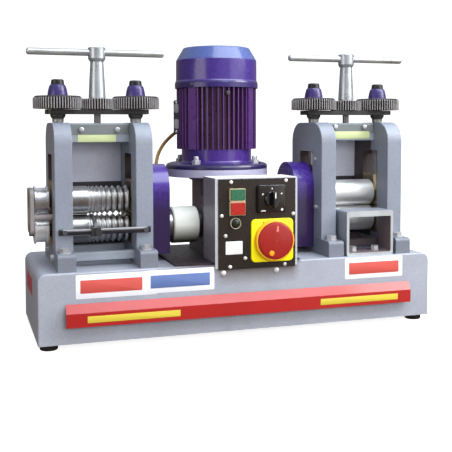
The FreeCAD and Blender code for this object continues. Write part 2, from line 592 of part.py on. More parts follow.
# ------------------------------------------------------------------- motor
frame_blank = turn("frame_ring", "Z", [(D.fin_bot, 58.0), (D.fin_bot, D.frame_rad), (D.fin_top, D.frame_rad), (D.fin_top, 58.0)], 0, 0, 0)
fin = frame_blank.newObject("Sketcher::SketchObject", "fin_outline")
fin.AttachmentSupport = [([f for f in frame_blank.Origin.OriginFeatures if f.Role == "XY_Plane"][0], "")]
fin.MapMode = "FlatFace"
fin.AttachmentOffset = FreeCAD.Placement(Vec(0, 0, n(D.fin_bot)), Rot())
fin.setExpression("AttachmentOffset.Base.z", D.fin_bot.ex)
loop(fin, [(D.frame_rad - 2, -1.3), (D.fin_rad, -0.9), (D.fin_rad, 0.9), (D.frame_rad - 2, 1.3)])
fin_pad = frame_blank.newObject("PartDesign::Pad", "fin_pad")
fin_pad.Profile = fin
fin_pad.Length = n(D.fin_top - D.fin_bot)
bind(fin_pad, "Length", D.fin_top - D.fin_bot)
frame_blank.Tip = fin_pad
doc.recompute()
fins = frame_blank.newObject("PartDesign::PolarPattern", "fin_row")
fins.Originals = [fin_pad]
fins.Axis = (fin, ["N_Axis"])
fins.Angle = 360.0
fins.Occurrences = 48
frame_blank.Tip = fins
put(frame_blank, CX, MY, 0)
pads = []
for i, a in enumerate((36.0, 114.0, 216.0, 310.0)):
    b = doc.addObject("Part::Box", "frame_pad%d" % i)
    b.Length, b.Width = 12.0, 17.0
    size(b, "Height", D.fin_top - D.fin_bot)
    b.Placement = FreeCAD.Placement(Vec(n(CX), n(MY), n(D.fin_bot)), Rot(Vec(0, 0, 1), a)).multiply(FreeCAD.Placement(Vec(n(D.fin_rad) - 11.6, -8.5, 0), Rot()))
    pads.append(b)
# seat of the terminal box, on the side of the frame
TA, TIN, TOUT, TW, TZA, TZB = 162.0, 67.8, 81.3, 32.0, 354.0, 418.0


def around(name, ra, rb, half, za, zb, angle=TA):
    """Box placed about the motor axis: ra..rb outwards, half wide to each side."""
    o = doc.addObject("Part::Box", name)
    o.Length, o.Width, o.Height = rb - ra, 2 * half, zb - za
    o.Placement = FreeCAD.Placement(Vec(n(CX), n(MY), za), Rot(Vec(0, 0, 1), angle)).multiply(FreeCAD.Placement(Vec(ra, -half, 0), Rot()))
    return o


seat = cut("termbox_seat", around("termbox_seat_block", 50.0, 90.0, TW + 0.3, TZA - 0.3, TZB + 0.3), cyl("termbox_seat_core", "Z", D.frame_rad, TZA - 1, TZB + 1, CX, MY))
frame_cast = cut("frame_cast_seated", fuse("frame_cast", frame_blank, *pads), seat)
BOLT_A = (45, 135, 225, 315)


def bolt_at(a, r=81.5):
    return get("motor_x") + r * math.cos(math.radians(a)), get("motor_y") + r * math.sin(math.radians(a))


shield = turn("drive_shield", "Z", [(288.0, 16.0), (288.0, D.flange_rad - 1), (289.0, D.flange_rad), (292.5, D.flange_rad), (295.3, D.flange_rad - 1.2), (297.4, D.flange_rad - 4), (299.0, D.flange_rad - 9), (300.0, D.flange_rad - 16),
                                    (300.0, 70.0), (301.0, 68.4), (303.0, D.frame_rad), (324.8, D.frame_rad), (324.8, 58.0), (306.0, 55.0), (304.0, 16.0)], CX, MY, 0)
top_shield = turn("fan_shield", "Z", [(441.2, 11.0), (441.2, D.frame_rad), (446.5, D.frame_rad - 2), (448.0, 40.0), (448.0, 11.0)], CX, MY, 0)
flange_holes = [cyl("flange_hole%d" % i, "Z", 5.6, 270.0, 305.0, *bolt_at(a)) for i, a in enumerate(BOLT_A)]
spots = [cyl("flange_spot%d" % i, "Z", 12.6, 295.5, 317.0, *bolt_at(a)) for i, a in enumerate(BOLT_A)]
node("motor_housing", group("motor_housing_set", frame_cast, cut("drive_shield_drilled", shield, group("flange_hole_set", *(flange_holes + spots))), top_shield))
adaptor_drill = [cyl("adaptor_hole%d" % i, "Z", 5.6, 276.0, 290.0, *bolt_at(a)) for i, a in enumerate(BOLT_A)]
doc.getObject("gearbox_housing_set").Links = [case, cut("adaptor_drilled", adaptor, group("adaptor_hole_set", *adaptor_drill)), doc.getObject("footplate")]

cr = D.cowl_rad
cowl = turn("cowl_shell", "Z", [(441.2, 78.2), (441.2, 80.3), (450.0, 80.3), (453.0, 79.5), (455.5, cr), (494.0, cr - 0.3), (D.cowl_top - 1.5, 64.5), (D.cowl_top, 63.0), (D.cowl_top, 0),
                                (D.cowl_top - 2.0, 0), (D.cowl_top - 2.0, 62.1), (493.3, cr - 2.3), (455.5, cr - 2.0), (453.0, 77.5)], CX, MY, 0)
slots = []
for i in range(24):
    a = i * 15.0
    b = doc.addObject("Part::Box", "grille_slot%d" % i)
    b.Length, b.Width, b.Height = 34.0, 4.6, 10.0
    b.Placement = FreeCAD.Placement(Vec(n(CX), n(MY), n(D.cowl_top) - 5), Rot(Vec(0, 0, 1), a)).multiply(FreeCAD.Placement(Vec(24, -2.3, 0), Rot()))
    slots.append(b)
node("motor_fan_cover", cut("cowl", cowl, *slots))
rotor = turn("rotor_shaft", "Z", [(242.0, 0), (242.0, 9.5), (340.0, 9.5), (340.0, 45.0), (430.0, 45.0), (430.0, 9.5), (476.0, 9.5), (476.0, 0)], CX, MY, 0)
fan = turn("fan_disc", "Z", [(456.0, 9.52), (456.0, 20.0), (464.0, 22.0), (464.0, 68.0), (466.0, 68.0), (466.0, 24.0), (472.0, 20.0), (472.0, 9.52)], 0, 0, 0)
blade = fan.newObject("Sketcher::SketchObject", "blade_outline")
blade.AttachmentSupport = [([f for f in fan.Origin.OriginFeatures if f.Role == "XY_Plane"][0], "")]
blade.MapMode = "FlatFace"
blade.AttachmentOffset = FreeCAD.Placement(Vec(0, 0, 465.0), Rot())
loop(blade, [(26.0, -1.0), (68.0, -1.0), (68.0, 1.0), (26.0, 1.0)])
blade_pad = fan.newObject("PartDesign::Pad", "blade_pad")
blade_pad.Profile = blade
blade_pad.Length = 22.0
fan.Tip = blade_pad
doc.recompute()
blades = fan.newObject("PartDesign::PolarPattern", "blade_row")
blades.Originals = [blade_pad]
blades.Axis = (blade, ["N_Axis"])
blades.Angle = 360.0
blades.Occurrences = 9
fan.Tip = blades
put(fan, CX, MY, 0)
node("motor_rotor", group("motor_rotor_set", rotor, fan))
worm = turn("worm_blank", "Z", [(150.0, 0), (150.0, 10.0), (156.0, 10.0), (158.0, 13.0), (160.0, 15.8), (164.0, 15.8), (166.0, 12.5), (170.0, 12.5), (172.0, 15.8), (176.0, 15.8), (178.0, 12.5), (182.0, 12.5),
                                (184.0, 15.8), (188.0, 15.8), (190.0, 12.5), (194.0, 12.5), (196.0, 15.8), (200.0, 15.8), (202.0, 12.5), (206.0, 12.5), (208.0, 15.8), (214.0, 15.8), (216.0, 14.0), (270.0, 14.0),
                                (270.0, 9.52), (241.5, 9.52), (241.5, 0)], CX, MY, 0)
node("worm_shaft", worm)

# terminal box let into the fins, its gland on the side facing the back
tb = cut("termbox_body", fillet("termbox_round", around("termbox_block", 50.0, TOUT, TW, TZA, TZB), 2.5, lambda e: (mid(e) - Vec(n(CX), n(MY), mid(e).z)).Length > 70.0),
         cyl("termbox_core", "Z", TIN, TZA - 1, TZB + 1, CX, MY))
tvoid = cut("termbox_room", around("termbox_void", 50.0, TOUT - 2.0, TW - 2.5, TZA + 2.5, TZB - 2.5), cyl("termbox_room_core", "Z", TIN + 1.8, TZA, TZB, CX, MY))


def local(r, t, z):
    """Point about the motor axis: r outwards at the terminal box, t towards the back."""
    c, q = math.cos(math.radians(TA)), math.sin(math.radians(TA))
    return Vec(get("motor_x") + r * c + t * q, get("motor_y") + r * q - t * c, z)


GZ = TZA + 8.0
ROUT = Rot(Vec(0, 0, 1), Vec(math.sin(math.radians(TA)), -math.cos(math.radians(TA)), 0))
term_hole = doc.addObject("Part::Cylinder", "termbox_hole")
term_hole.Radius, term_hole.Height = 3.8, 8.0
term_hole.Placement = FreeCAD.Placement(local(75.6, TW - 5, GZ), ROUT)
node("terminal_box", cut("termbox", tb, tvoid, term_hole))
lead_gland = turn("gland_motor", "Z", [(0.05, 3.8), (0.05, 5.3), (4.0, 5.3), (6.0, 5.1), (9.0, 4.6), (9.0, 3.8)])
lead_gland.Placement = FreeCAD.Placement(local(75.6, TW, GZ), ROUT)
base_gland = turn("gland_base", "Z", [(128.05, 3.8), (128.05, 9.2), (134.0, 9.2), (137.0, 8.6), (142.0, 6.4), (142.0, 3.8)], -104.0, 96.0, 0)
mains_gland = turn("gland_mains", "Y", [(142.05, 5.0), (142.05, 11.0), (150.0, 11.0), (154.0, 10.0), (162.0, 8.0), (162.0, 5.0)], -250.0, 0, 62.0)
node("cable_glands", group("cable_gland_set", lead_gland, base_gland, mains_gland))


# lead from the terminal box to the base: straight runs joined by tangent arcs
def tube(points, r):
    P = [Vec(*p) for p in points]
    edges, start, radii, total = [], P[0], [], 0.0
    for i in range(1, len(P) - 1):
        a, b, c = P[i - 1], P[i], P[i + 1]
        u, w = (a - b), (c - b)
        la, lc = u.Length, w.Length
        u.normalize()
        w.normalize()
        turn_ = math.pi - u.getAngle(w)
        tl = 0.45 * min(la, lc)
        rad = tl / math.tan(turn_ / 2.0)
        radii.append(round(rad, 1))
        p1, p2 = b + u * tl, b + w * tl
        bis = (u + w)
        bis.normalize()
        mid_ = b + bis * (math.hypot(rad, tl) - rad)
        if (p1 - start).Length > 1e-6:
            edges.append(Part.LineSegment(start, p1).toShape())
        edges.append(Part.Arc(p1, mid_, p2).toShape())
        start = p2
    edges.append(Part.LineSegment(start, P[-1]).toShape())
    wire = Part.Wire(edges)
    t = P[1] - P[0]
    prof = Part.Wire(Part.Circle(P[0], t, r).toShape())
    sh = wire.makePipeShell([prof], True, True)
    sol = Part.Solid(sh.Shells[0]) if sh.ShapeType != "Solid" else sh
    print("lead radii", radii, "length", round(wire.Length, 1), "volume ratio", round(sol.Volume / (math.pi * r * r * wire.Length), 4))
    return sol


LEAD = [tuple(local(75.6, TW + 2, GZ)), tuple(local(75.6, TW + 20.3, GZ)), (-56.6, 148.6, 358.0), (-64.0, 168.2, 349.0), (-77.5, 178.6, 333.2), (-90.0, 175.4, 313.2),
        (-98.2, 161.5, 292.6), (-102.5, 146.0, 271.5), (-105.0, 131.5, 249.5), (-106.5, 120.0, 225.0), (-107.0, 109.0, 201.0),
        (-105.6, 101.0, 178.0), (-104.0, 96.0, 156.5), (-104.0, 96.0, 134.5)]
node("motor_lead", feature("lead", tube(LEAD, 3.5)))

# ---------------------------------------------------------------- control box
bx = box("cbox_outer", D.box_xa, D.box_xb, D.box_front, D.box_back, D.box_bot, D.box_top)
bx = fillet("cbox_round", bx, 2.0, lambda e: along(e, "Y") and mid(e).z > 200)
bi = box("cbox_inner", D.box_xa + 2.5, D.box_xb - 2.5, D.box_front + 2, D.box_back + 5, D.box_bot + 2.5, D.box_top - 2.5)
lip = box("cbox_lip", D.box_xa, D.box_xb, D.box_front, -118.05, 120.5, D.box_bot + 1)
rear = box("cbox_rear", D.box_xa + 1, D.box_xb - 1, -68.0, -66.0, D.box_bot + 1, D.box_top - 1)
node("control_box", fuse("cbox", cut("cbox_shell", bx, bi), lip, rear))
pnl = pad("panel_sheet", "XZ", [(-55.5, 119.0), (88.5, 119.0), (88.5, 276.5), (-55.5, 276.5)], 1.95, 0, D.panel_front, 0,
          rings=[(D.knob_x, D.knob_z, 6.0), (D.sel_x, D.sel_z, 6.0)])
node("control_panel", pnl)

iso = pad("iso_plate", "XZ", [(4.0, 129.5), (83.0, 129.5), (83.0, 205.5), (4.0, 205.5)], 3.9, 0, -126.0, 0, rings=[(D.knob_x, D.knob_z, 6.05)])
iso = body_fillet(iso, 8.0, lambda e: along(e, "Y"), "iso_corner")
sel = pad("sel_plate", "XZ", [(14.5, 215.3), (68.0, 215.3), (68.0, 265.3), (14.5, 265.3)], 5.9, 0, -128.0, 0, rings=[(D.sel_x, D.sel_z, 5.05)])
sel = body_fillet(sel, 6.0, lambda e: along(e, "Y"), "sel_corner")
but = pad("button_frame", "XZ", [(-36.2, 210.7), (-7.7, 210.7), (-7.7, 261.5), (-36.2, 261.5)], 5.9, 0, -128.0, 0,
          holes=[[(-35.2, 239.8), (-8.7, 239.8), (-8.7, 259.3), (-35.2, 259.3)], [(-35.2, 214.6), (-8.7, 214.6), (-8.7, 236.0), (-35.2, 236.0)]])
pilot = turn("pilot", "Y", [(-126.5, 0), (-126.5, 5.5), (-125.5, 7.4), (-125.5, 8.2), (-126.5, 8.2), (-127.2, 8.8), (-126.5, 9.7), (-122.1, 9.7), (-122.1, 0)], -25.0, 0, 199.6)
node("panel_fittings", group("panel_fitting_set", iso, sel, but, pilot))

node("start_button", fillet("start_round", box("start_block", -34.95, -8.95, -131.0, -126.6, 240.05, 259.05), 0.8, lambda e: mid(e).y < -130.5))
node("stop_button", fillet("stop_round", box("stop_block", -34.95, -8.95, -131.0, -126.6, 214.85, 235.75), 0.8, lambda e: mid(e).y < -130.5))
node("isolator_knob", turn("iso_knob_body", "Y", [(-143.6, 0), (-143.4, 12.0), (-142.8, 22.0), (-142.0, 29.5), (-141.2, 31.6), (-139.6, D.knob_rad), (-136.6, D.knob_rad), (-136.6, 32.9), (-138.0, 33.3), (-138.0, 34.6), (-137.2, 35.5),
                                                  (-128.5, 35.8), (-126.3, 35.5), (-126.3, 6.0), (-122.5, 6.0), (-122.5, 0)], D.knob_x, 0, D.knob_z))
sel_body = turn("sel_knob_body", "Y", [(-134.0, 0), (-134.0, 13.0), (-133.0, 14.0), (-128.3, 14.5), (-128.3, 5.0), (-124.0, 5.0), (-124.0, 0)], D.sel_x, 0, D.sel_z)
sel_grip = fillet("sel_grip_round", box("sel_grip", D.sel_x - 3.5, D.sel_x + 3.5, -146.0, -133.5, D.sel_z - 14, D.sel_z + 14), 1.5, lambda e: mid(e).y < -134)
node("selector_knob", fuse("sel_knob", sel_body, sel_grip))

# ------------------------------------------------------------------ stop bar
zb, zt = D.bar_zbot, D.bar_ztop
barp = pad("stopbar_sheet", "YZ", [(-122.9, zb), (-122.9, zb + 2), (-130, zb + 2), (-130, zt - 0.8), (-122.9, 74.6), (-122.9, 77.4), (-132, zt), (-132, zb)],
           D.bar_len_half * 2, -D.bar_len_half, 0, 0)
pins = [turn("stop_pin%d" % i, "Y", [(-130.4, 0), (-130.4, 4.0), (-112.2, 4.0), (-112.2, 7.0), (-108.2, 7.0), (-108.2, 0)], x, 0, 52.0) for i, x in enumerate((-240.0, 0.0, 240.0))]
node("stop_bar", fuse("stopbar", barp, *pins))

# --------------------------------------------------- guide rail and feed table
rail = box("rail_bar", -322.0, -166.0, -87.0, -78.0, 186.0, 196.0)
node("guide_rail", fillet("rail_round", rail, 2.5, lambda e: along(e, "X") or (along(e, "Z") and True)))
blk = cut("finger_block_bored", fillet("finger_block_round", box("finger_block", -269.0, -253.0, -91.0, -74.4, 182.5, 199.5), 1.5, lambda e: True),
          box("finger_slotcut", -272.0, -250.0, -87.12, -77.88, 185.88, 196.12))
blade_f = pad("finger_blade", "YZ", [(-88.0, 197.0), (-77.0, 197.0), (-60.0, 207.0), (-37.5, 213.6), (-37.5, 216.4), (-62.0, 213.5), (-84.0, 206.0)], 5.0, -263.5, 0, 0)
screw_f = cyl("finger_screw", "Y", 3.2, -98.0, -90.5, -258.0, 191.0)
screw_h = cyl("finger_screw_head", "Y", 6.0, -103.0, -97.0, -258.0, 191.0)
node("guide_finger", fuse("finger", blk, blade_f, screw_f, screw_h))

th, tt = D.table_half, D.table_top
m = MX["right"]
tbl = pad("table_tube", "XZ", [(-th, D.base_top), (th, D.base_top), (th, tt), (-th, tt)], 49.5, m, -111.0, 0,
          holes=[[(-th + 5, D.base_top + 5.5), (th - 5, D.base_top + 5.5), (th - 5, tt - 10.5), (-th + 5, tt - 10.5)]])
tbl = body_fillet(tbl, 4.0, lambda e: along(e, "Y") and abs(abs(mid(e).x) - 48) < 0.1, "table_corner")
tbl = body_fillet(tbl, 3.0, lambda e: along(e, "Y") and abs(abs(mid(e).x) - 43) < 0.1, "table_incorner")
tbh = [cyl("table_hole%d" % i, "Z", 5.2, D.base_top - 2, D.base_top + 8, m + s * 23, -86.0) for i, s in enumerate((-1, 1))]
node("feed_table", cut("table", tbl, *tbh))

# ---------------------------------------------------------------- fasteners
fast = []


def hexbolt(name, x, y, z, shank, af=17.0, head=7.0, r=5.0):
    w = cyl(name + "_washer", "Z", af * 0.6, z, z + 1.6, x, y)
    h = prism(name + "_head", "Z", af / 2 / math.cos(math.pi / 6), z + 1.5, z + 1.5 + head, x, y)
    s = cyl(name + "_shank", "Z", r, z - shank, z + 2, x, y)
    return fuse(name, w, h, s)


for side in ("left", "right"):
    for i, dx in enumerate((-D.screw_off, D.screw_off)):
        for k, s in enumerate((-1, 1)):
            fast.append(hexbolt("%s_footbolt_%d%d" % (side, i, k), MX[side] + dx, AY + s * D.bolt_off, D.pad_top, 27.0))
for i, s in enumerate((-1, 1)):
    fast.append(hexbolt("table_bolt%d" % i, m + s * 23, -86.0, D.base_top + 5.5, 4.5, af=13.0, head=7.5, r=4.0))
for i, a in enumerate(BOLT_A):
    bxp, byp = bolt_at(a)
    fast.append(fuse("flange_stud%d" % i, cyl("flange_washer%d" % i, "Z", 9.4, 295.55, 297.2, bxp, byp), prism("flange_nut%d" % i, "Z", 8.6, 297.0, 305.0, bxp, byp),
                     cyl("flange_shank%d" % i, "Z", 5.0, 277.0, 311.0, bxp, byp), cone("flange_end%d" % i, "Z", 5.0, 4.0, 311.0, 312.2, bxp, byp)))
for i, (x, s) in enumerate(((-328.0, -1), (328.0, 1))):
    for k, (y, z) in enumerate(((-52.0, 144.5), (36.5, 144.5))):
        fast.append(cyl("tie_bolt_%d%d" % (i, k), "X", 6.5, x - 5.5 if s < 0 else x + 0.02, x - 0.02 if s < 0 else x + 5.5, y, z))
fast.append(cyl("plate_screw_a", "X", 4.0, 155.5, 159.98, -52.0, 306.0))
fast.append(cyl("plate_screw_b", "X", 4.0, 155.5, 159.98, -56.0, 216.0))

small = []
for i, (x, z) in enumerate(((-32.3, 271.3), (70.0, 272.2), (-49.6, 213.0), (84.3, 212.9), (-34.5, 123.6), (68.1, 123.2), (-42.7, 178.0), (-6.3, 137.5))):
    small.append(turn("panel_screw%d" % i, "Y", [(-124.6, 0), (-124.6, 1.4), (-123.8, 2.9), (-122.02, 3.4), (-122.02, 0)], x, 0, z))
for i, (x, z) in enumerate(((-45.5, 113.0), (53.5, 113.0))):
    small.append(turn("dome_screw%d" % i, "Y", [(-122.2, 0), (-122.2, 2.0), (-121.0, 4.2), (-118.02, 5.0), (-118.02, 0)], x, 0, z))
for s in ("left", "right"):
    for i, d in enumerate((-31.0, 32.5) if s == "left" else (-30.4, 32.0)):
        small.append(cyl(s + "_strip_screw%d" % i, "Y", 4.2, -25.8, -22.52, MX[s] + d, 362.6 if s == "left" else 366.6))
for i, x in enumerate((-313.0, -175.0)):
    small.append(cyl("rail_screw%d" % i, "Y", 4.0, -90.2, -87.02, x, 191.0))
node("fasteners", group("fastener_set", *(fast + small)))

# ------------------------------------------------------------- check and write
doc.recompute()
bad = [o.Name for o in doc.Objects if "Invalid" in o.State or "Error" in o.State]
if bad:
    raise RuntimeError("failed objects: " + ", ".join(bad))
if len(NODES) > 60 or len({o.Label for o in NODES}) != len(NODES):
    raise RuntimeError("node count or labels wrong: %d" % len(NODES))
for o in NODES:
    s = o.Shape
    if s.isNull() or not s.isValid() or not s.Solids:
        raise RuntimeError("bad shape: " + o.Label)
os.makedirs("parts", exist_ok=True)
for f in os.listdir("parts"):
    if f.endswith(".step"):
        os.remove(os.path.join("parts", f))
for o in NODES:
    o.Shape.exportStep("parts/%s.step" % o.Label)
print(len(NODES), "nodes written")
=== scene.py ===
import math

import bmesh
import bpy
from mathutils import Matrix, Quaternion, Vector


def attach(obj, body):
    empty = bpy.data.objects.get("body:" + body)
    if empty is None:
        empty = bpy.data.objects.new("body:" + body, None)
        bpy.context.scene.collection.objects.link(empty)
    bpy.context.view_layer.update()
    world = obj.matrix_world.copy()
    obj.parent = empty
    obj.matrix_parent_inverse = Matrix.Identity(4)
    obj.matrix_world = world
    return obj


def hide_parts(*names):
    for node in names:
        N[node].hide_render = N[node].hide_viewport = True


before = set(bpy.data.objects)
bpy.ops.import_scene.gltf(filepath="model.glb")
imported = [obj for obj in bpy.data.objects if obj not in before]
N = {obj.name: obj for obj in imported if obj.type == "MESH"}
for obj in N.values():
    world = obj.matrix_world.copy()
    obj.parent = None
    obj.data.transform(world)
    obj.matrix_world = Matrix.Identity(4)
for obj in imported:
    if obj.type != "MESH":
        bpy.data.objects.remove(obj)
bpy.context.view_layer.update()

SC = bpy.context.scene

# ------------------------------------------------------------------- camera
cam_data = bpy.data.cameras.new("camera")
cam = bpy.data.objects.new("camera", cam_data)
SC.collection.objects.link(cam)
yaw, pitch, roll = 0.31917, 0.05343, -0.00232
cam_data.sensor_width = 36.0
cam_data.lens = 805.36 / 452.0 * 36.0
cam_data.shift_x = 0.0
cam_data.shift_y = -55.3 / 452.0
cam_data.clip_start, cam_data.clip_end = 0.05, 60.0
fwd = Vector((math.sin(yaw) * math.cos(pitch), math.cos(yaw) * math.cos(pitch), -math.sin(pitch)))
cam.rotation_mode = "QUATERNION"
cam.rotation_quaternion = fwd.to_track_quat("-Z", "Y") @ Quaternion((0, 0, 1), roll)
cam.location = (-0.47686, -1.43949, 0.36566)
SC.camera = cam

# ----------------------------------------------------------------- materials
MATS = {}


def srgb(r, g, b):
    """0..255 display colour to linear."""
    out = []
    for c in (r, g, b):
        c = c / 255.0
        out.append(c / 12.92 if c <= 0.04045 else ((c + 0.055) / 1.055) ** 2.4)
    return (out[0], out[1], out[2], 1.0)


class Net:
    def __init__(self, name):
        self.m = bpy.data.materials.new(name)
        self.m.use_nodes = True
        self.t = self.m.node_tree
        self.t.nodes.clear()
        self.out = self.t.nodes.new("ShaderNodeOutputMaterial")
        self.tc = self.t.nodes.new("ShaderNodeTexCoord")
        MATS[name] = self.m

    def new(self, kind, **props):
        nd = self.t.nodes.new(kind)
        for k, v in props.items():
            setattr(nd, k, v)
        return nd

    def link(self, a, b):
        self.t.links.new(a, b)

    def coords(self, scale=(1, 1, 1)):
        mp = self.new("ShaderNodeMapping")
        mp.inputs["Scale"].default_value = scale
        self.link(self.tc.outputs["Object"], mp.inputs["Vector"])
        return mp.outputs["Vector"]

    def noise(self, scale, detail=4.0, rough=0.55, stretch=(1, 1, 1)):
        n = self.new("ShaderNodeTexNoise")
        n.inputs["Scale"].default_value = scale
        n.inputs["Detail"].default_value = detail
        n.inputs["Roughness"].default_value = rough
        self.link(self.coords(stretch), n.inputs["Vector"])
        return n.outputs["Fac"]

    def ramp(self, fac, stops):
        r = self.new("ShaderNodeValToRGB")
        el = r.color_ramp.elements
        while len(el) > 1:
            el.remove(el[-1])
        el[0].position, el[0].color = stops[0]
        for p, c in stops[1:]:
            e = el.new(p)
            e.color = c
        self.link(fac, r.inputs["Fac"])
        return r.outputs["Color"]

    def remap(self, fac, lo, hi, a=0.3, b=0.7):
        m = self.new("ShaderNodeMapRange")
        m.inputs["From Min"].default_value = a
        m.inputs["From Max"].default_value = b
        m.inputs["To Min"].default_value = lo
        m.inputs["To Max"].default_value = hi
        self.link(fac, m.inputs["Value"])
        return m.outputs["Result"]

    def math(self, op, a, b=None):
        m = self.new("ShaderNodeMath", operation=op)
        for i, v in enumerate((a, b)):
            if v is None:
                continue
            if isinstance(v, (int, float)):
                m.inputs[i].default_value = v
            else:
                self.link(v, m.inputs[i])
        return m.outputs[0]

    def mixc(self, fac, a, b, blend="MIX"):
        m = self.new("ShaderNodeMix", data_type="RGBA", blend_type=blend)
        if isinstance(fac, (int, float)):
            m.inputs["Factor"].default_value = fac
        else:
            self.link(fac, m.inputs["Factor"])
        for i, v in ((6, a), (7, b)):
            if isinstance(v, tuple):
                m.inputs[i].default_value = v
            else:
                self.link(v, m.inputs[i])
        return m.outputs[2]

    def bump(self, height, strength, dist, after=None):
        b = self.new("ShaderNodeBump")
        b.inputs["Strength"].default_value = strength
        b.inputs["Distance"].default_value = dist
        self.link(height, b.inputs["Height"])
        if after is not None:
            self.link(after, b.inputs["Normal"])
        return b.outputs["Normal"]

    def shader(self, color, rough, metal=0.0, normal=None, **fixed):
        p = self.new("ShaderNodeBsdfPrincipled")
        for key, v in (("Base Color", color), ("Roughness", rough)):
            if isinstance(v, (int, float, tuple)):
                p.inputs[key].default_value = v
            else:
                self.link(v, p.inputs[key])
        p.inputs["Metallic"].default_value = metal
        if normal is not None:
            self.link(normal, p.inputs["Normal"])
        for k, v in fixed.items():
            p.inputs[k.replace("_", " ")].default_value = v
        return p.outputs["BSDF"]

    def done(self, surface):
        self.link(surface, self.out.inputs["Surface"])
        return self.m


def tint(c, k):
    return (min(1.0, c[0] * k), min(1.0, c[1] * k), min(1.0, c[2] * k), 1.0)


def paint_on(n, col, rough=0.35, peel=0.12, grime=0.10, coat=0.0, light=1.10, dark=0.86, spec=0.5, grime_col=None, speck=0.0):
    """Sprayed enamel: slow tone drift, orange peel, faint grime, and a fine speckle on textured coats."""
    slow = n.noise(9.0, 3.0)
    fine = n.noise(140.0, 2.0)
    base = n.ramp(slow, [(0.25, tint(col, dark)), (0.55, col), (0.8, tint(col, light))])
    if speck > 0:
        grain = n.noise(430.0, 3.0, 0.7)
        base = n.mixc(n.math("MULTIPLY", n.remap(grain, 0.0, 1.0, 0.42, 0.60), speck), base, tint(col, 1.5))
        base = n.mixc(n.math("MULTIPLY", n.remap(n.noise(330.0, 3.0, 0.7, (1.0, 1.3, 0.9)), 0.0, 1.0, 0.42, 0.60), speck), base, tint(col, 0.55))
    spots = n.ramp(n.noise(55.0, 6.0, 0.7), [(0.50, (0, 0, 0, 1)), (0.72, (1, 1, 1, 1))])
    g = grime_col or tint(col, 0.45)
    base = n.mixc(n.math("MULTIPLY", spots, grime), base, g)
    rr = n.remap(fine, max(0.05, rough - 0.06), rough + 0.08)
    nr = n.bump(n.noise(520.0, 2.0), peel, 0.0006)
    return n.shader(base, rr, 0.0, nr, Coat_Weight=coat, Coat_Roughness=0.12, Specular_IOR_Level=spec)


def paint(name, col, **kw):
    n = Net(name)
    return n.done(paint_on(n, col, **kw))


def plastic_on(n, col, rough=0.4, tex=0.15, spec=0.5, scale=900.0, var=0.08, coat=0.0):
    base = n.ramp(n.noise(18.0, 3.0), [(0.3, tint(col, 1 - var)), (0.7, tint(col, 1 + var))])
    rr = n.remap(n.noise(200.0, 2.0), max(0.03, rough - 0.05), rough + 0.07)
    nr = n.bump(n.noise(scale, 3.0), tex, 0.0003)
    return n.shader(base, rr, 0.0, nr, Specular_IOR_Level=spec, Coat_Weight=coat, Coat_Roughness=0.08)


def plastic(name, col, **kw):
    n = Net(name)
    return n.done(plastic_on(n, col, **kw))


def turned_on(n, col, rough=0.2, axis="X", lines=0.25, metal=1.0, stain=0.25, stain_col=(0.05, 0.045, 0.04, 1)):
    """Turned or ground metal: fine marks round the axis, light stain and wear."""
    st = {"X": (1.0, 0.02, 0.02), "Y": (0.02, 1.0, 0.02), "Z": (0.02, 0.02, 1.0), "N": (1, 1, 1)}[axis]
    marks = n.noise(2600.0, 2.0, 0.5, st)
    slow = n.noise(26.0, 5.0, 0.65)
    base = n.ramp(slow, [(0.30, tint(col, 0.84)), (0.55, col), (0.75, tint(col, 1.08))])
    smear = n.ramp(n.noise(60.0, 6.0, 0.7), [(0.52, (0, 0, 0, 1)), (0.75, (1, 1, 1, 1))])
    base = n.mixc(n.math("MULTIPLY", smear, stain), base, stain_col)
    rr = n.remap(slow, rough * 0.8, rough * 1.35)
    nr = n.bump(marks, lines, 0.0002)
    return n.shader(base, rr, metal, nr)


def turned(name, col, **kw):
    n = Net(name)
    return n.done(turned_on(n, col, **kw))


def where(n, axis, level_mm, blur_mm=0.0):
    """1 where the object coordinate on the axis is above the level."""
    sep = n.new("ShaderNodeSeparateXYZ")
    n.link(n.tc.outputs["Object"], sep.inputs[0])
    v = sep.outputs[axis]
    if blur_mm:
        return n.remap(v, 0.0, 1.0, (level_mm - blur_mm) * 0.001, (level_mm + blur_mm) * 0.001)
    return n.math("GREATER_THAN", v, level_mm * 0.001)


def radius(n, axis, ca, cb):
    """Distance in metres from an axis; ca, cb in mm are its place in the other two coordinates."""
    sep = n.new("ShaderNodeSeparateXYZ")
    n.link(n.tc.outputs["Object"], sep.inputs[0])
    pair = {"X": ("Y", "Z"), "Y": ("X", "Z"), "Z": ("X", "Y")}[axis]
    sq = []
    for ch, c in zip(pair, (ca, cb)):
        d = n.math("SUBTRACT", sep.outputs[ch], c * 0.001)
        sq.append(n.math("MULTIPLY", d, d))
    return n.math("SQRT", n.math("ADD", sq[0], sq[1]))


def blend(n, fac, a, b):
    m = n.new("ShaderNodeMixShader")
    n.link(fac, m.inputs[0])
    n.link(a, m.inputs[1])
    n.link(b, m.inputs[2])
    return m.outputs[0]


FRAME = srgb(128, 134, 147)
BASEC = srgb(156, 160, 172)
BLUE = srgb(62, 36, 132)
paint("guard_grey", srgb(150, 148, 166), rough=0.45, peel=0.2, grime=0.15, speck=0.2)
paint("bracket_grey", srgb(146, 140, 140), rough=0.42, peel=0.12, grime=0.2)

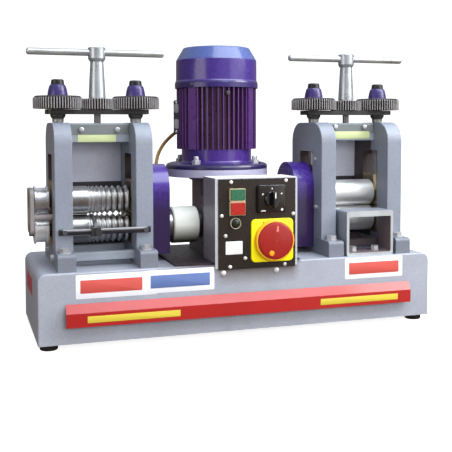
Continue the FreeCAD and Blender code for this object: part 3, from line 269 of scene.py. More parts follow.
paint("cover_blue", BLUE, rough=0.30, peel=0.10, grime=0.10, coat=0.5, light=1.12, dark=0.8)
paint("bar_red", srgb(164, 31, 29), rough=0.36, peel=0.08, grime=0.05, coat=0.45, light=1.06, dark=0.9)
plastic("panel_black", srgb(36, 30, 25), rough=0.30, tex=0.03, var=0.06)
plastic("black_gloss", srgb(16, 14, 18), rough=0.12, tex=0.03, coat=0.5)
plastic("black_matt", srgb(22, 22, 23), rough=0.55, tex=0.3)
plastic("rubber", srgb(34, 29, 27), rough=0.75, tex=0.4, spec=0.3)
plastic("lemon", srgb(250, 238, 22), rough=0.30, tex=0.08, var=0.05)
plastic("rim_yellow", srgb(246, 176, 40), rough=0.30, tex=0.08, var=0.03)
plastic("dot_orange", srgb(244, 150, 30), rough=0.30, tex=0.08, var=0.03)
plastic("button_red", srgb(154, 32, 24), rough=0.30, tex=0.08, var=0.05)
plastic("button_green", srgb(42, 96, 70), rough=0.30, tex=0.08, var=0.05)
plastic("cream_frame", srgb(206, 190, 150), rough=0.4, tex=0.1, var=0.04)
plastic("pilot_ring", srgb(170, 165, 140), rough=0.35, tex=0.1, var=0.04)
plastic("pilot_lens", srgb(26, 34, 22), rough=0.12, tex=0.03, coat=0.6)
plastic("mark_white", srgb(226, 226, 222), rough=0.5, tex=0.05, var=0.02)
plastic("painted_highlight_rim", srgb(176, 176, 188), rough=0.35, tex=0.05, var=0.06)
plastic("painted_reflection_rim_brown", srgb(112, 62, 56), rough=0.4, tex=0.05, var=0.06)
plastic("rim_dark", srgb(58, 54, 60), rough=0.4, tex=0.05, var=0.06)
plastic("painted_highlight_pink", srgb(238, 120, 110), rough=0.4, tex=0.05, var=0.04)
plastic("lead_tan", srgb(166, 128, 70), rough=0.40, tex=0.2, var=0.10)
plastic("knock_grey", srgb(120, 116, 122), rough=0.45, tex=0.2, var=0.10)
plastic("decal_white", srgb(226, 227, 234), rough=0.40, tex=0.03, var=0.02)
plastic("decal_red", srgb(190, 78, 70), rough=0.40, tex=0.03, var=0.04)
plastic("decal_blue", srgb(90, 112, 164), rough=0.40, tex=0.03, var=0.05)
plastic("decal_yellow", srgb(200, 180, 60), rough=0.38, tex=0.03, var=0.04)
plastic("decal_lime", srgb(186, 196, 146), rough=0.42, tex=0.03, var=0.04)
plastic("end_red", srgb(176, 52, 70), rough=0.40, tex=0.05, var=0.05)
turned("roll_steel", (0.60, 0.605, 0.615, 1), rough=0.29, axis="X", lines=0.3, stain=0.25, metal=1.0)



def grooved(name, zc, land):
    """Hardened roll with wire grooves: roots darkened as dirt and painted shade, flanks painted bright as ring
    highlights, lands duller; zc is the height of its axis.
    """
    n = Net(name)
    r = radius(n, "X", -8.0, zc)
    col = n.ramp(n.remap(r, 0.0, 1.0, 0.0190, 0.0251), [(0.0, (0.07, 0.055, 0.045, 1)), (0.30, (0.34, 0.30, 0.27, 1)), (0.55, (0.86, 0.85, 0.84, 1)), (0.93, (0.96, 0.96, 0.96, 1)), (0.985, (land, land * 0.985, land * 0.98, 1))])
    wear = n.ramp(n.noise(30.0, 5.0, 0.65), [(0.30, (0.80, 0.79, 0.78, 1)), (0.65, (1, 1, 1, 1))])
    nr = n.bump(n.noise(2600.0, 2.0, 0.5, (1.0, 0.02, 0.02)), 0.3, 0.0002)
    return n.done(n.shader(n.mixc(1.0, col, wear, "MULTIPLY"), n.remap(n.noise(26.0, 5.0, 0.65), 0.24, 0.40), 1.0, nr))


# the bottom roll's lands are painted darker than the top roll's, as painted shade
grooved("roll_groove_low", 187.5, 0.37)
grooved("roll_groove_up", 238.0, 0.53)
turned("roll_satin", (0.76, 0.765, 0.765, 1), rough=0.37, axis="X", lines=0.3, stain=0.15, metal=0.80)
turned("side_roll_steel", (0.76, 0.76, 0.78, 1), rough=0.27, axis="X", lines=0.3, stain=0.2, metal=0.95)
# the side roll underneath gets a lighter copy of the side-roll steel as painted light, making up for the light it
# misses
turned("side_roll_low", (0.97, 0.97, 0.97, 1), rough=0.34, axis="X", lines=0.3, stain=0.10, metal=0.75)


def rimmed(name, col, axis, rough, metal, start=0.62, dark=(0.05, 0.055, 0.06, 1), stain=0.1):
    """Polished round bar with a painted dark reflection, blended in by facing, on the sides that turn away from the
    view.
    """
    n = Net(name)
    lw = n.new("ShaderNodeLayerWeight")
    lw.inputs["Blend"].default_value = 0.5
    edge = n.remap(lw.outputs["Facing"], 0.0, 0.85, start, 0.97)
    body = turned_on(n, col, rough=rough, axis=axis, lines=0.08, stain=stain, metal=metal)
    rim = n.shader(dark, n.remap(n.noise(60.0, 3.0), 0.25, 0.4), 0.8)
    return n.done(blend(n, edge, body, rim))


rimmed("handle_steel", (0.50, 0.52, 0.52, 1), "X", 0.32, 0.70)
rimmed("post_steel", (0.45, 0.48, 0.51, 1), "Z", 0.28, 0.66, 0.55, stain=0.05)


def gear_teeth(name, off, root, tip, face_z):
    """Blackened wheel: tooth tips lighter as wear and painted highlight, tooth gaps darkened as painted shade; off is
    the wheel's X distance from the stand's centre.
    """
    n = Net(name)
    sep = n.new("ShaderNodeSeparateXYZ")
    n.link(n.tc.outputs["Object"], sep.inputs[0])
    ax = n.math("SUBTRACT", n.math("ABSOLUTE", sep.outputs["X"]), 0.244)
    if off:
        ax = n.math("SUBTRACT", n.math("ABSOLUTE", ax), off * 0.001)
    ay = n.math("ADD", sep.outputs["Y"], 0.008)
    r = n.math("SQRT", n.math("ADD", n.math("MULTIPLY", ax, ax), n.math("MULTIPLY", ay, ay)))
    col = n.ramp(n.remap(r, 0.0, 1.0, root * 0.001, tip * 0.001), [(0.0, (0.022, 0.018, 0.02, 1)), (0.55, (0.10, 0.095, 0.095, 1)), (0.9, (0.38, 0.37, 0.38, 1)), (1.0, (0.44, 0.43, 0.44, 1))])
    wear = n.ramp(n.noise(38.0, 5.0, 0.7), [(0.35, (0.62, 0.60, 0.60, 1)), (0.65, (1, 1, 1, 1))])
    side = n.shader(n.mixc(1.0, col, wear, "MULTIPLY"), n.remap(n.noise(70.0, 3.0), 0.34, 0.52), 0.35, n.bump(n.noise(900.0, 2.0), 0.2, 0.0003))
    face = turned_on(n, (0.20, 0.195, 0.195, 1), rough=0.42, axis="Z", lines=0.5, stain=0.35, metal=0.5)
    return n.done(blend(n, where(n, "Z", face_z - 0.2), side, face))


gear_teeth("gear_big", 69.0, 39.5, 42.7, 421.5)
gear_teeth("gear_small", 0.0, 26.0, 29.2, 417.0)
turned("dark_steel", (0.13, 0.13, 0.14, 1), rough=0.34, axis="X", lines=0.4, stain=0.3, metal=0.9)
turned("bronze", (0.42, 0.34, 0.21, 1), rough=0.36, axis="N", lines=0.3, stain=0.45, stain_col=(0.06, 0.045, 0.03, 1))
turned("floor_steel", (0.5, 0.5, 0.52, 1), rough=0.4, axis="Y", lines=0.4, stain=0.4)

# zinc bolts; the small screws on the switch panel are a paler nickel
n = Net("zinc")
sep_y = n.new("ShaderNodeSeparateXYZ")
n.link(n.tc.outputs["Object"], sep_y.inputs[0])
bolt_m = turned_on(n, (0.60, 0.61, 0.64, 1), rough=0.32, axis="Z", lines=0.3, stain=0.18, metal=0.7)
pale_m = turned_on(n, (0.80, 0.78, 0.78, 1), rough=0.32, axis="N", lines=0.2, stain=0.08, metal=0.35)
dark_z = turned_on(n, (0.10, 0.10, 0.11, 1), rough=0.40, axis="Y", lines=0.3, stain=0.3, metal=0.5)
rail_zone = n.math("MULTIPLY", n.math("MULTIPLY", n.math("LESS_THAN", sep_y.outputs["Y"], -0.0865), n.math("LESS_THAN", sep_y.outputs["X"], -0.15)),
                   n.math("MULTIPLY", n.math("GREATER_THAN", sep_y.outputs["Z"], 0.180), n.math("LESS_THAN", sep_y.outputs["Z"], 0.200)))
n.done(blend(n, rail_zone, blend(n, n.math("LESS_THAN", sep_y.outputs["Y"], -0.1175), bolt_m, pale_m), dark_z))

# gear plate: blackened, its centre column turned steel
n = Net("plate_black")
flat_m = turned_on(n, (0.045, 0.045, 0.046, 1), rough=0.42, axis="Y", lines=0.3, stain=0.3, metal=0.6)
col_m = turned_on(n, (0.21, 0.21, 0.21, 1), rough=0.34, axis="Z", lines=0.4, stain=0.3, metal=0.5)
n.done(blend(n, where(n, "Z", 389.9), col_m, flat_m))


def axes(n):
    sep = n.new("ShaderNodeSeparateXYZ")
    n.link(n.tc.outputs["Object"], sep.inputs[0])
    return sep.outputs["X"], sep.outputs["Y"], sep.outputs["Z"]


def inside(n, v, lo_mm, hi_mm):
    """1 where the coordinate lies between the two levels."""
    return n.math("MULTIPLY", n.math("GREATER_THAN", v, lo_mm * 0.001), n.math("LESS_THAN", v, hi_mm * 0.001))


# stand side frames: painted shade with greasy staining inside the bearing windows and on the right outer upright's
# inner face
n = Net("frame_grey")
x, y, z = axes(n)
off = n.math("ABSOLUTE", n.math("ADD", y, 0.008))
window_shade_mask = n.math("MULTIPLY", n.math("LESS_THAN", off, 0.02935), inside(n, z, 159.7, 320.3))
inner = n.math("MULTIPLY", inside(n, x, 297.8, 298.3), n.math("MULTIPLY", n.math("GREATER_THAN", y, -0.012), n.math("GREATER_THAN", z, 0.15)))
enamel = paint_on(n, FRAME, rough=0.46, peel=0.10, grime=0.10, coat=0.05, speck=0.16)
oily_painted_shade = paint_on(n, srgb(58, 46, 48), rough=0.42, peel=0.2, grime=0.3, light=1.25, dark=0.7)
# the foot blocks below 157.3 mm get a darker copy of the frame enamel as painted shade
foot_block_painted_shade = paint_on(n, srgb(112, 117, 128), rough=0.48, peel=0.10, grime=0.12, speck=0.16)
n.done(blend(n, n.math("MAXIMUM", window_shade_mask, inner), blend(n, n.math("LESS_THAN", z, 0.1573), enamel, foot_block_painted_shade), oily_painted_shade))

# cross ties: a plain greenish strip on the front of the top tie
n = Net("tie_grey")
x, y, z = axes(n)
strip = n.math("MULTIPLY", inside(n, z, 354.1, 370.9), n.math("LESS_THAN", y, -0.0199))
tie_m = paint_on(n, srgb(140, 147, 158), rough=0.46, peel=0.10, grime=0.10, coat=0.05, speck=0.14)
strip_m = paint_on(n, srgb(112, 118, 120), rough=0.44, peel=0.08, grime=0.12, speck=0.12)
# painted shade on the right stand's bottom tie, below 156 mm
low_tie_painted_shade = paint_on(n, srgb(64, 56, 60), rough=0.44, peel=0.2, grime=0.3)
low_right_shade_mask = n.math("MULTIPLY", n.math("LESS_THAN", z, 0.156), n.math("GREATER_THAN", x, 0.0))
n.done(blend(n, low_right_shade_mask, blend(n, strip, tie_m, strip_m), low_tie_painted_shade))

# base: light enamel, painted shadow under the overhanging switch panel, and painted shadow with some dirt on the middle
# of the top
n = Net("base_grey")
x, y, z = axes(n)
shade = n.math("MULTIPLY", n.remap(z, 0.0, 1.0, 0.088, 0.118), n.math("MULTIPLY", n.remap(x, 0.0, 1.0, -0.070, -0.040), n.math("LESS_THAN", y, -0.1175)))
shade = n.math("MULTIPLY", shade, n.remap(x, 1.0, 0.0, 0.085, 0.100))
base_enamel = paint_on(n, BASEC, rough=0.46, peel=0.10, grime=0.08, coat=0.05, speck=0.14)
panel_shadow_paint = paint_on(n, srgb(104, 99, 96), rough=0.5, peel=0.10, grime=0.12, speck=0.14)
# painted shadow with some dirt on the top between about X -170 and 105 mm
top_shadow_and_dirt_mask = n.math("MULTIPLY", n.remap(z, 0.0, 1.0, 0.1240, 0.1265), n.math("MULTIPLY", n.remap(x, 0.0, 1.0, -0.170, -0.080), n.remap(x, 1.0, 0.0, 0.095, 0.105)))
top_shadow_and_dirt_paint = paint_on(n, srgb(74, 66, 74), rough=0.5, peel=0.10, grime=0.2)
n.done(blend(n, top_shadow_and_dirt_mask, blend(n, n.math("MULTIPLY", shade, 0.95), base_enamel, panel_shadow_paint), top_shadow_and_dirt_paint))

# switch box: grey enamel, painted shade on the left side and painted light on the top
n = Net("box_grey")
x, y, z = axes(n)
pale_box = paint_on(n, srgb(180, 183, 190), rough=0.40, peel=0.10, grime=0.06)
side_box_painted_shade = paint_on(n, srgb(112, 109, 117), rough=0.44, peel=0.10, grime=0.10)
top_box_painted_light = paint_on(n, srgb(240, 240, 243), rough=0.38, peel=0.10, grime=0.06)
edge_mix = blend(n, n.math("LESS_THAN", x, -0.0606), pale_box, side_box_painted_shade)
n.done(blend(n, n.math("GREATER_THAN", z, 0.27835), edge_mix, top_box_painted_light))

# nylon sleeves: cream, painted shade on the underside
n = Net("nylon")
x, y, z = axes(n)
nylon_cream = plastic_on(n, srgb(214, 216, 210), rough=0.44, tex=0.2, spec=0.45, var=0.05)
underside_painted_shade = plastic_on(n, srgb(62, 62, 48), rough=0.50, tex=0.2, spec=0.4, var=0.10)
n.done(blend(n, n.remap(z, 1.0, 0.0, 0.160, 0.190), nylon_cream, underside_painted_shade))

# guide rail: black below and at the ends, with lighter steel along its upper part as a painted highlight
n = Net("rail_steel")
x, y, z = axes(n)
upper_highlight_steel = turned_on(n, (0.27, 0.27, 0.285, 1), rough=0.36, axis="X", lines=0.5, stain=0.3, metal=0.55)
black_r = plastic_on(n, srgb(28, 26, 32), rough=0.40, tex=0.3)
upper_highlight_mask = n.math("MULTIPLY", inside(n, x, -315.5, -172.5), n.remap(z, 0.0, 1.0, 0.1915, 0.1928))
n.done(blend(n, upper_highlight_mask, black_r, upper_highlight_steel))

# adjusting screws: steel rod, violet cap, black tip
n = Net("screw_bands")
rod_low = turned_on(n, (0.30, 0.30, 0.30, 1), rough=0.32, axis="Z", lines=0.6, stain=0.35, metal=0.5)
rod_neck = turned_on(n, (0.06, 0.058, 0.058, 1), rough=0.38, axis="Z", lines=0.5, stain=0.35, metal=0.4)
rod_top = turned_on(n, (0.42, 0.42, 0.42, 1), rough=0.30, axis="Z", lines=0.6, stain=0.3, metal=0.5)
rod = blend(n, where(n, "Z", 392.0), blend(n, where(n, "Z", 381.5, 1.2), rod_low, rod_neck), rod_top)
cap = paint_on(n, srgb(46, 33, 92), rough=0.32, coat=0.25, grime=0.04)
tip = plastic_on(n, srgb(22, 20, 22), rough=0.35)
n.done(blend(n, where(n, "Z", 441.7), blend(n, where(n, "Z", 421.5), rod, cap), tip))

# motor: violet enamel; painted shade darkens the fins towards their roots and on the +X side, the -X side is painted
# lighter, and painted shade darkens the flange below 299 mm
n = Net("motor_fins")
fin_root_shade = n.remap(radius(n, "Z", -2.5, 55.0), 0.0, 1.0, 0.0685, 0.0775)
fin_col = n.ramp(fin_root_shade, [(0.0, srgb(66, 42, 60)), (0.5, srgb(76, 44, 88)), (1.0, srgb(86, 50, 120))])
drift = n.ramp(n.noise(16.0, 3.0), [(0.35, (0.80, 0.72, 0.80, 1)), (0.7, (1, 1, 1, 1))])
side_x = n.new("ShaderNodeSeparateXYZ")
n.link(n.tc.outputs["Object"], side_x.inputs[0])
# painted light on the fins towards -X, painted shade towards +X
fin_col = n.mixc(n.remap(side_x.outputs["X"], 0.0, 1.0, 0.010, 0.060), n.mixc(n.remap(side_x.outputs["X"], 1.0, 0.0, -0.078, -0.050), fin_col, srgb(98, 64, 120)), n.mixc(0.45, fin_col, srgb(52, 34, 62)))
fins = n.shader(n.mixc(1.0, fin_col, drift, "MULTIPLY"), n.remap(n.noise(120.0, 2.0), 0.26, 0.40), 0.0,
                n.bump(n.noise(520.0, 2.0), 0.12, 0.0006), Coat_Weight=0.2, Coat_Roughness=0.15)
shield_up = paint_on(n, srgb(64, 36, 122), rough=0.30, peel=0.10, grime=0.04, coat=0.45, light=1.12, dark=0.85)
shield_low_painted_shade = paint_on(n, srgb(34, 24, 70), rough=0.32, peel=0.10, grime=0.04, coat=0.35, light=1.12, dark=0.85)
shield = blend(n, where(n, "Z", 299.0, 1.5), shield_low_painted_shade, shield_up)
zmask = n.math("MULTIPLY", where(n, "Z", 324.9), n.math("LESS_THAN", n.math("MULTIPLY", where(n, "Z", 441.1), 1.0), 0.5))
n.done(blend(n, zmask, shield, fins))
# fan cover: violet enamel, a bluer painted highlight on the shoulder above 495 mm and painted shade on the skirt below
# 453.5 mm
n = Net("cowl_blue")
cowl_low = paint_on(n, srgb(58, 38, 118), rough=0.27, peel=0.12, grime=0.03, coat=0.5, light=1.12, dark=0.86)
cowl_top_painted_highlight = paint_on(n, srgb(60, 78, 140), rough=0.27, peel=0.12, grime=0.03, coat=0.5, light=1.10, dark=0.9)
cowl_skirt_painted_shade = paint_on(n, srgb(42, 29, 92), rough=0.32, peel=0.12, grime=0.03, coat=0.35, light=1.12, dark=0.86)
n.done(blend(n, where(n, "Z", 495.0, 2.5), blend(n, where(n, "Z", 453.5, 1.0), cowl_skirt_painted_shade, cowl_low), cowl_top_painted_highlight))
paint("term_dark", srgb(46, 38, 52), rough=0.40, peel=0.2, grime=0.2)

# gearbox: dark cast body, paler machined adaptor ring; the dark foot plate below 131.2 mm is painted shade on the base
# top
n = Net("gearbox_paint")
cast = paint_on(n, srgb(98, 90, 102), rough=0.42, peel=0.35, grime=0.25)
ringp = paint_on(n, srgb(160, 157, 182), rough=0.38, peel=0.15, grime=0.06)
foot_plate_painted_shade = paint_on(n, srgb(40, 32, 38), rough=0.48, peel=0.2, grime=0.25)
n.done(blend(n, where(n, "Z", 272.9), blend(n, where(n, "Z", 131.2), foot_plate_painted_shade, cast), ringp))

# gear covers: violet enamel, darker below the shoulder as painted shade
n = Net("cover_paint")
slowz = n.math("ADD", n.remap(n.noise(14.0, 2.0), -0.006, 0.006), 0.0)
sepz = n.new("ShaderNodeSeparateXYZ")
n.link(n.tc.outputs["Object"], sepz.inputs[0])
fz = n.remap(n.math("ADD", sepz.outputs["Z"], slowz), 0.0, 1.0, 0.222, 0.268)
up_p = paint_on(n, BLUE, rough=0.26, peel=0.10, grime=0.04, coat=0.6, light=1.12, dark=0.8)
lo_painted_shade = paint_on(n, srgb(44, 28, 70), rough=0.34, peel=0.14, grime=0.2, coat=0.3, light=1.1, dark=0.85)
n.done(blend(n, fz, lo_painted_shade, up_p))

# rear guards: grey sheet above, the lip and bottom plate dark as painted shade
n = Net("guard_paint")
lower_painted_shade = paint_on(n, srgb(46, 44, 50), rough=0.4, peel=0.2, grime=0.2)
upper = paint_on(n, srgb(184, 186, 202), rough=0.45, peel=0.2, grime=0.15, speck=0.2)
n.done(blend(n, where(n, "Z", 266.1), lower_painted_shade, upper))

# feed table: painted tube with a painted highlight of light steel on its front edge and painted shade inside the tube
n = Net("table_paint")
x, y, z = axes(n)
body_p = paint_on(n, FRAME, rough=0.44, grime=0.12, coat=0.05, speck=0.12)
front_edge_highlight = turned_on(n, (0.48, 0.505, 0.52, 1), rough=0.42, axis="N", lines=0.3, stain=0.10, metal=0.35)
inside_painted_shade = paint_on(n, srgb(112, 99, 104), rough=0.46, grime=0.3, peel=0.2)
inside_shade_mask = n.math("MULTIPLY", n.math("LESS_THAN", n.math("ABSOLUTE", n.math("SUBTRACT", x, 0.244)), 0.04312), inside(n, z, 133.3, 200.65))
n.done(blend(n, where(n, "Y", -110.7), front_edge_highlight, blend(n, inside_shade_mask, body_p, inside_painted_shade)))

# isolator knob: red disc in a yellow rim
n = Net("knob_paint")
rad = radius(n, "Y", 44.5, 168.0)
disc_p = plastic_on(n, srgb(146, 30, 26), rough=0.32, tex=0.03, var=0.05, coat=0.15)
rim_p = plastic_on(n, srgb(247, 178, 40), rough=0.30, tex=0.08, var=0.03)
n.done(blend(n, n.math("GREATER_THAN", rad, 0.03245), disc_p, rim_p))

USE = {
    "base_housing": "base_grey", "base_floor_plate": "floor_steel", "rubber_feet": "rubber",
    "left_stand_uprights": "frame_grey", "right_stand_uprights": "frame_grey", "cross_ties": "tie_grey",
    "rear_guards": "guard_paint", "side_roll_bracket": "bracket_grey", "lower_bearings": "bronze",
    "left_upper_bearings": "bronze", "right_upper_bearings": "bronze", "fasteners": "zinc",
    "gear_covers": "cover_paint", "gearbox_housing": "gearbox_paint", "motor_housing": "motor_fins", "motor_fan_cover": "cowl_blue",
    "terminal_box": "term_dark", "motor_lead": "lead_tan", "cable_glands": "black_matt", "control_box": "box_grey",
    "control_panel": "panel_black", "panel_fittings": "lemon", "guide_rail": "rail_steel", "guide_finger": "dark_steel",
    "feed_table": "table_paint", "coupling_sleeves": "nylon", "output_shaft": "dark_steel", "worm_wheel": "bronze",
    "worm_shaft": "dark_steel", "motor_rotor": "dark_steel", "lower_drive_pinions": "dark_steel", "left_upper_pinion": "dark_steel",
    "right_upper_pinion": "dark_steel", "start_button": "button_green", "stop_button": "button_red", "selector_knob": "black_gloss",
    "isolator_knob": "knob_paint", "stop_bar": "bar_red", "upper_side_roll": "side_roll_steel", "lower_side_roll": "side_roll_low",
    "right_upper_roll": "roll_satin", "right_lower_roll": "roll_satin",
    "left_upper_roll": "roll_groove_up", "left_lower_roll": "roll_groove_low",
}
for name, ob in N.items():
    if name in USE:
        m = USE[name]
    elif "screw_gear" in name:
        m = "gear_big"
    elif "centre_pinion" in name:
        m = "gear_small"
    elif "gear_plate" in name:
        m = "plate_black"
    elif "handle_post" in name:
        m = "post_steel"
    elif "handle_bar" in name:
        m = "handle_steel"
    elif "adjusting_screw" in name:
        m = "screw_bands"
    else:
        m = "roll_steel"
    ob.data.materials.clear()
    ob.data.materials.append(MATS[m])


# ------------------------------------------------------------- mesh helpers
def link(me, name, mat, body="frame"):
    ob = bpy.data.objects.new(name, me)
    SC.collection.objects.link(ob)
    me.materials.append(MATS[mat])
    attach(ob, body)
    return ob


def from_bm(bm, name, mat, body="frame", smooth=True, angle=35):
    me = bpy.data.meshes.new(name)
    bmesh.ops.recalc_face_normals(bm, faces=bm.faces)
    bm.to_mesh(me)
    bm.free()
    if smooth:
        me.shade_smooth()
        for e in me.edges:
            e.use_edge_sharp = False
        me.set_sharp_from_angle(angle=math.radians(angle))
    return link(me, name, mat, body)


def rrect(w, h, r, k=6):
    pts = []
    for cx, cy, a0 in ((w / 2 - r, h / 2 - r, 0), (-w / 2 + r, h / 2 - r, 90), (-w / 2 + r, -h / 2 + r, 180), (w / 2 - r, -h / 2 + r, 270)):
        for i in range(k + 1):
            a = math.radians(a0 + 90.0 * i / k)
            pts.append((cx + r * math.cos(a), cy + r * math.sin(a)))
    return pts


def slab(bm, outline, y0, y1, cx, cz, bev=0.0, holes=()):
    """Plate facing -Y: outline in X,Z (mm) about cx,cz, from y1 (back) to y0 (front), front edge bevelled."""
    def ringv(pts, y, k=1.0, inset=0.0):
        vs = []
        n_ = len(pts)
        for i, (x, z) in enumerate(pts):
            if inset:
                px, pz = pts[i - 1]
                nx, nz = pts[(i + 1) % n_]
                tx, tz = nx - px, nz - pz
                l = math.hypot(tx, tz) or 1.0
                x, z = x - inset * tz / l, z + inset * tx / l
            vs.append(bm.verts.new(((x + cx) * 0.001, y * 0.001, (z + cz) * 0.001)))
        return vs
    a = ringv(outline, y1)
    rings = [a]
    if bev > 0:
        rings.append(ringv(outline, y0 + bev))
        rings.append(ringv(outline, y0 + bev * 0.3, inset=bev * 0.3))
        rings.append(ringv(outline, y0, inset=bev))
    else:
        rings.append(ringv(outline, y0))
    k = len(outline)
    for p, q in zip(rings, rings[1:]):
        for i in range(k):
            bm.faces.new((p[i], p[(i + 1) % k], q[(i + 1) % k], q[i]))
    bm.faces.new(rings[-1])
    bm.faces.new(list(reversed(a)))


def plate(name, mat, x0, x1, z0, z1, y_front, y_back, r=1.0, bev=0.2, body="frame"):
    bm = bmesh.new()
    slab(bm, rrect(x1 - x0, z1 - z0, r), y_front, y_back, (x0 + x1) / 2, (z0 + z1) / 2, bev)
    return from_bm(bm, name, mat, body)


def disc_outline(r, k=48):
    return [(r * math.cos(2 * math.pi * i / k), r * math.sin(2 * math.pi * i / k)) for i in range(k)]


def disc(name, mat, x, z, r, y_front, y_back, bev=0.1, body="frame", k=48):
    bm = bmesh.new()
    slab(bm, disc_outline(r, k), y_front, y_back, x, z, bev)
    return from_bm(bm, name, mat, body)


def ring_piece(name, mat, x, z, r_out, r_in, y_front, y_back, body="frame", k=64):
    """Flat ring facing -Y with softened edges."""
    prof = [(r_in, y_back), (r_out, y_back), (r_out, y_front + 0.3), (r_out - 0.3, y_front), (r_in + 0.3, y_front), (r_in, y_front + 0.3)]
    bm = bmesh.new()
    rows = [[bm.verts.new(((x + r * math.cos(2 * math.pi * i / k)) * 0.001, y * 0.001, (z + r * math.sin(2 * math.pi * i / k)) * 0.001)) for r, y in prof] for i in range(k)]
    for i in range(k):
        a, b = rows[i], rows[(i + 1) % k]
        for j in range(len(prof)):
            bm.faces.new((a[j], a[(j + 1) % len(prof)], b[(j + 1) % len(prof)], b[j]))
    return from_bm(bm, name, mat, body)


# -------------------------------------------------------- switch panel pieces
def iso_plate():
    bm = bmesh.new()
    slab(bm, rrect(79.0, 76.0, 8.0, 8), -126.0, -122.08, 43.5, 167.5, 1.3)
    return from_bm(bm, "isolator_plate", "lemon")


iso = iso_plate()
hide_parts("panel_fittings")
disc("isolator_plate_hole", "black_matt", 26.5, 198.6, 1.7, -126.06, -125.9, 0.02, k=20)
for i, (sx, sz) in enumerate(((9.5, 135.0), (77.5, 135.0), (9.5, 200.0), (77.5, 200.0))):
    ring_piece("isolator_plate_rivet%d" % i, "lemon", sx, sz, 2.2, 1.2, -126.35, -125.95, k=24)
bm = bmesh.new()
slab(bm, rrect(53.5, 50.0, 5.0, 8), -128.0, -122.08, 41.25, 240.3, 1.4)
from_bm(bm, "selector_plate", "black_gloss")
bm = bmesh.new()
slab(bm, rrect(48.0, 44.6, 3.5, 8), -128.5, -127.9, 41.25, 240.3, 0.4)
from_bm(bm, "selector_plate_face", "panel_black")


def bar_mark(name, mat, xa, za, xb, zb, w, yf, yb, body="frame"):
    """Straight stroke of width w between two points on a face looking -Y: printed marks, and painted highlight and
    reflection lines round the selector plate.
    """
    dx, dz = xb - xa, zb - za
    l = math.hypot(dx, dz)
    nx, nz = -dz / l * w / 2, dx / l * w / 2
    pts = [(xa + nx, za + nz), (xb + nx, zb + nz), (xb - nx, zb - nz), (xa - nx, za - nz)]
    cx, cz = (xa + xb) / 2, (za + zb) / 2
    bm = bmesh.new()
    slab(bm, [(px - cx, pz - cz) for px, pz in pts], yf, yb, cx, cz, 0.0)
    return from_bm(bm, name, mat, body)


disc("selector_mark_top", "mark_white", 41.6, 258.8, 1.2, -128.56, -128.4, 0.02, k=20)
disc("selector_mark_left", "mark_white", 24.1, 249.1, 1.4, -128.56, -128.4, 0.02, k=20)
disc("selector_mark_right", "mark_white", 59.4, 249.6, 1.5, -128.56, -128.4, 0.02, k=20)
bar_mark("selector_stroke_a", "knock_grey", 30.2, 245.0, 34.6, 251.2, 1.2, -128.56, -128.4)
bar_mark("selector_stroke_b", "knock_grey", 34.6, 251.2, 39.8, 252.2, 1.0, -128.56, -128.4)
bar_mark("selector_stroke_c", "mark_white", 50.0, 250.6, 52.6, 247.4, 3.0, -128.56, -128.4)
bar_mark("selector_stroke_d", "knock_grey", 52.6, 247.4, 54.6, 244.2, 1.2, -128.56, -128.4)
# white painted highlights at the bottom corners of the selector plate
bar_mark("selector_highlight_left", "mark_white", 21.0, 220.1, 29.8, 220.1, 2.0, -128.56, -128.4)
disc("selector_highlight_right", "mark_white", 60.3, 221.4, 2.3, -128.9, -128.4, 0.3, k=24)
bar_mark("selector_pointer", "mark_white", 41.3, 243.2, 41.3, 252.7, 2.0, -146.12, -145.9, "selector")
# painted highlight along the top edge of the selector plate, a painted brown reflection along its bottom edge and dim
# painted sheen lines on its sides
bar_mark("selector_rim_top", "painted_highlight_rim", 18.6, 264.2, 63.9, 264.2, 1.3, -127.75, -127.0)
bar_mark("selector_rim_corner_l", "painted_highlight_rim", 15.8, 262.0, 18.6, 264.2, 1.0, -127.6, -127.0)
bar_mark("selector_rim_corner_r", "painted_highlight_rim", 63.9, 264.2, 66.7, 262.0, 1.0, -127.6, -127.0)
bar_mark("selector_rim_low", "painted_reflection_rim_brown", 18.6, 216.3, 63.9, 216.3, 1.1, -127.75, -127.0)
bar_mark("selector_rim_left", "rim_dark", 15.5, 218.6, 15.5, 262.0, 0.8, -127.6, -127.0)
bar_mark("selector_rim_right", "rim_dark", 67.0, 218.6, 67.0, 262.0, 0.8, -127.6, -127.0)

# push buttons in their cream frame
bm = bmesh.new()


def frame_rect(bm, x0, x1, z0, z1, y0, y1, t):
    """Rectangular ring of width t round a window, facing -Y."""
    outer = [(x0 - t, z0 - t), (x1 + t, z0 - t), (x1 + t, z1 + t), (x0 - t, z1 + t)]
    inner = [(x0, z0), (x1, z0), (x1, z1), (x0, z1)]
    V4 = [[bm.verts.new((px * 0.001, y * 0.001, pz * 0.001)) for px, pz in pts] for pts in (outer, inner) for y in (y0, y1)]
    of, ob_, if_, ib = V4
    for i in range(4):
        j = (i + 1) % 4
        bm.faces.new((of[i], of[j], if_[j], if_[i]))
        bm.faces.new((ob_[i], ib[i], ib[j], ob_[j]))
        bm.faces.new((of[i], ob_[i], ob_[j], of[j]))
        bm.faces.new((if_[i], if_[j], ib[j], ib[i]))


frame_rect(bm, -35.2, -8.7, 239.8, 259.3, -128.0, -122.08, 0.8)
frame_rect(bm, -35.2, -8.7, 214.6, 236.0, -128.0, -122.08, 0.8)
me = bpy.data.meshes.new("button_frame")
bmesh.ops.recalc_face_normals(bm, faces=bm.faces)
bm.to_mesh(me)
bm.free()
link(me, "button_frame", "cream_frame", "frame")
plate("button_frame_bar", "cream_frame", -35.2, -8.7, 236.9, 238.9, -128.1, -127.0, 0.3, 0.1)

